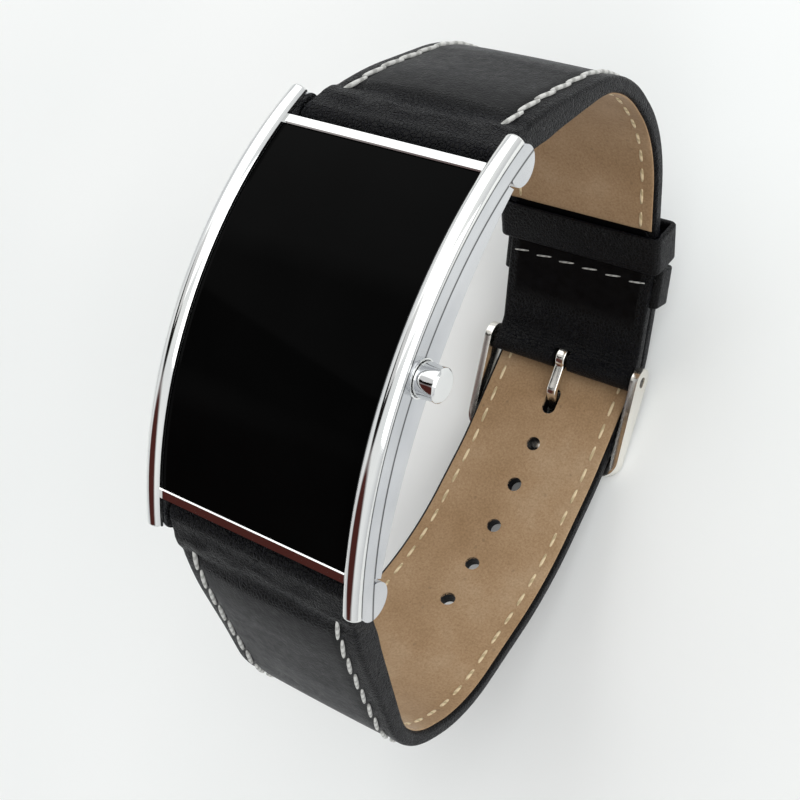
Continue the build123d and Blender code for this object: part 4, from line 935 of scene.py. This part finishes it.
def keeper(name, foot, heading, slide, opening, inner_wall, body, node_name):
    """A leather band round the strap on a straight run, wide enough for where it slides to."""
    across = Vector((-sin(radians(heading)), cos(radians(heading))))
    far_height = along_run(foot, KEEPER_WIDTH + slide, heading).y
    half = TAIL_HALF_WIDTH + (LUG_HALF_WIDTH - TAIL_HALF_WIDTH) * far_height / BAR_HEIGHT + KEEPER_SIDE_GAP
    bpy.ops.object.select_all(action="DESELECT")
    bpy.ops.mesh.primitive_plane_add(size=1, rotation=(0, radians(90), 0))
    loop = bpy.context.object
    loop.name = loop.data.name = name
    settle(loop)
    loop.scale = (1, opening + 2 * KEEPER_WALL, 2 * (half + KEEPER_WALL))
    settle(loop)
    pick(loop, lambda point: True)
    bpy.ops.mesh.bevel(offset=KEEPER_ROUNDING, segments=5, affect="VERTICES")
    done()
    pick(loop, lambda middle, normal: True, by="FACE")
    bpy.ops.mesh.inset(thickness=KEEPER_WALL)
    bpy.ops.mesh.delete(type="FACE")
    done()
    edge = opening / 2
    thinner = inner_wall / KEEPER_WALL
    reshape(loop, lambda point: (point.x, min(point.y, edge) + max(point.y - edge, 0) * thinner, point.z))
    modify(loop, "SOLIDIFY", thickness=KEEPER_WIDTH, offset=0)
    tidy_faces(loop)
    modify(loop, "BEVEL", width=min(KEEPER_EDGE, 0.4 * inner_wall), segments=3, limit_method="ANGLE",
           angle_limit=radians(50))
    loop.rotation_euler = (0, 0, radians(heading))
    middle = along_run(foot, KEEPER_WIDTH / 2, heading) + across * (opening / 2 - KEEPER_FACE_GAP)
    loop.location = (middle.x, middle.y, 0)
    settle(loop)
    loop.rotation_euler = (radians(90), 0, radians(90))
    loop.scale = (MM, MM, MM)
    settle(loop)
    mark_grain(loop, lambda point: 0.5)
    finish_piece(loop, leather, body, "black_leather", node_name)


# The fixed keeper's ends are sewn into the fold, and the free keeper is a closed loop
keeper("fixed_keeper_loop", along_run(KEEPER_CORNER, KEEPER_START + KEEPER_WIDTH, 180 + TAIL_DEGREES),
       TAIL_DEGREES, 0, FIXED_KEEPER_OPENING, FIXED_KEEPER_INNER_WALL, "case", "fixed_keeper")
keeper("free_keeper_loop", along_run(KEEPER_CORNER, KEEPER_START, KEEPER_DEGREES), KEEPER_DEGREES,
       KEEPER_SLIDE, FREE_KEEPER_OPENING, KEEPER_WALL, "free_keeper", "free_keeper")

# Floor, at the lowest stitch
floor_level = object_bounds()[0][2]
bpy.ops.object.select_all(action="DESELECT")
bpy.ops.mesh.primitive_plane_add(size=3, location=(0, 0, floor_level))
floor = bpy.context.object
settle(floor)
floor.name = floor.data.name = "floor"
material, tree = new_material("pale_paper_floor")
place = node(tree, "ShaderNodeTexCoord").outputs["Object"]
clouds = node(tree, "ShaderNodeTexNoise", {"Vector": place, "Scale": 12.0, "Detail": 2.0})
tint = node(tree, "ShaderNodeValToRGB", {"Fac": clouds.outputs["Fac"]},
            stops=((0.3, "F0F2F1"), (0.7, "F6F7F6")))
shader = node(tree, "ShaderNodeBsdfPrincipled", {"Base Color": tint.outputs["Color"], "Roughness": 0.9,
                                                 "Specular IOR Level": 0.1})
node(tree, "ShaderNodeOutputMaterial", {"Surface": shader.outputs["BSDF"]})
floor.data.materials.append(material)

# World: greyer near the horizon and white overhead, with two dark parts of the room that the display,
# the rails, the leather and the lower crossbar reflect
world = bpy.data.worlds.new("studio")
world.use_nodes = True
bpy.context.scene.world = world
tree = world.node_tree
tree.nodes.clear()
direction = node(tree, "ShaderNodeTexCoord").outputs["Generated"]
height = node(tree, "ShaderNodeSeparateXYZ", {"Vector": direction}).outputs["Z"]
sky = node(tree, "ShaderNodeValToRGB", {"Fac": height},
           stops=((0.0, "D2D4D6"), (0.25, "E4E6E7"), (0.55, "F3F5F5"), (1.0, "F0F2F2"))).outputs["Color"]
dark_parts = (((-0.5, -0.05, 0.86), (0.42, 0.4, 0.35), "14110F"),
              ((-0.3, -0.65, 0.5), (0.6, 0.42, 0.5), "4A2622"))
for middle, reach, code in dark_parts:
    off = node(tree, "ShaderNodeVectorMath", {0: direction, 1: middle}, operation="SUBTRACT")
    shares = node(tree, "ShaderNodeVectorMath", {0: off.outputs["Vector"], 1: reach}, operation="DIVIDE")
    spread = node(tree, "ShaderNodeVectorMath", {0: shares.outputs["Vector"]}, operation="LENGTH")
    inside = node(tree, "ShaderNodeMapRange", {"Value": spread.outputs["Value"], "From Min": 1.05,
                                               "From Max": 0.75})
    sky = node(tree, "ShaderNodeMixRGB", {"Fac": inside.outputs["Result"], "Color1": sky,
                                          "Color2": linear(code)}).outputs["Color"]
light = node(tree, "ShaderNodeBackground", {"Color": sky, "Strength": 1.0})
node(tree, "ShaderNodeOutputWorld", {"Surface": light.outputs["Background"]})


def lamp(name, place, target, size, power):
    """A large square soft light that looks at a point."""
    data = bpy.data.lights.new(name, "AREA")
    data.shape = "SQUARE"
    data.size = size
    data.energy = power
    light = bpy.data.objects.new(name, data)
    bpy.context.scene.collection.objects.link(light)
    light.location = place
    light.rotation_euler = (Vector(target) - Vector(place)).to_track_quat("-Z", "Y").to_euler()
    return light


lamp("key_softbox", (-0.15, 0.45, 0.65), (0, 0, 0.03), 1.2, 3.2)
lamp("side_softbox", (0.7, 0.1, 0.45), (0, 0, 0.03), 0.7, 2.3)

# Camera at the photograph's angle
camera_data = bpy.data.cameras.new("camera")
camera_data.lens = 58.05
camera_data.sensor_width = 36
camera_data.clip_start = 0.01
camera = bpy.data.objects.new("camera", camera_data)
bpy.context.scene.collection.objects.link(camera)
sight = Vector((-0.49506, -0.04853, -0.86750)).normalized()
up = Vector((-0.30224, 0.94570, 0.11957))
right = sight.cross(up).normalized()
up = right.cross(sight)
turn = Matrix((right, up, -sight)).transposed().to_4x4()
camera.matrix_world = Matrix.Translation(Vector((0.07132, 0.00322, 0.16794))) @ turn
bpy.context.scene.camera = camera
bpy.context.scene.view_settings.view_transform = "Standard"
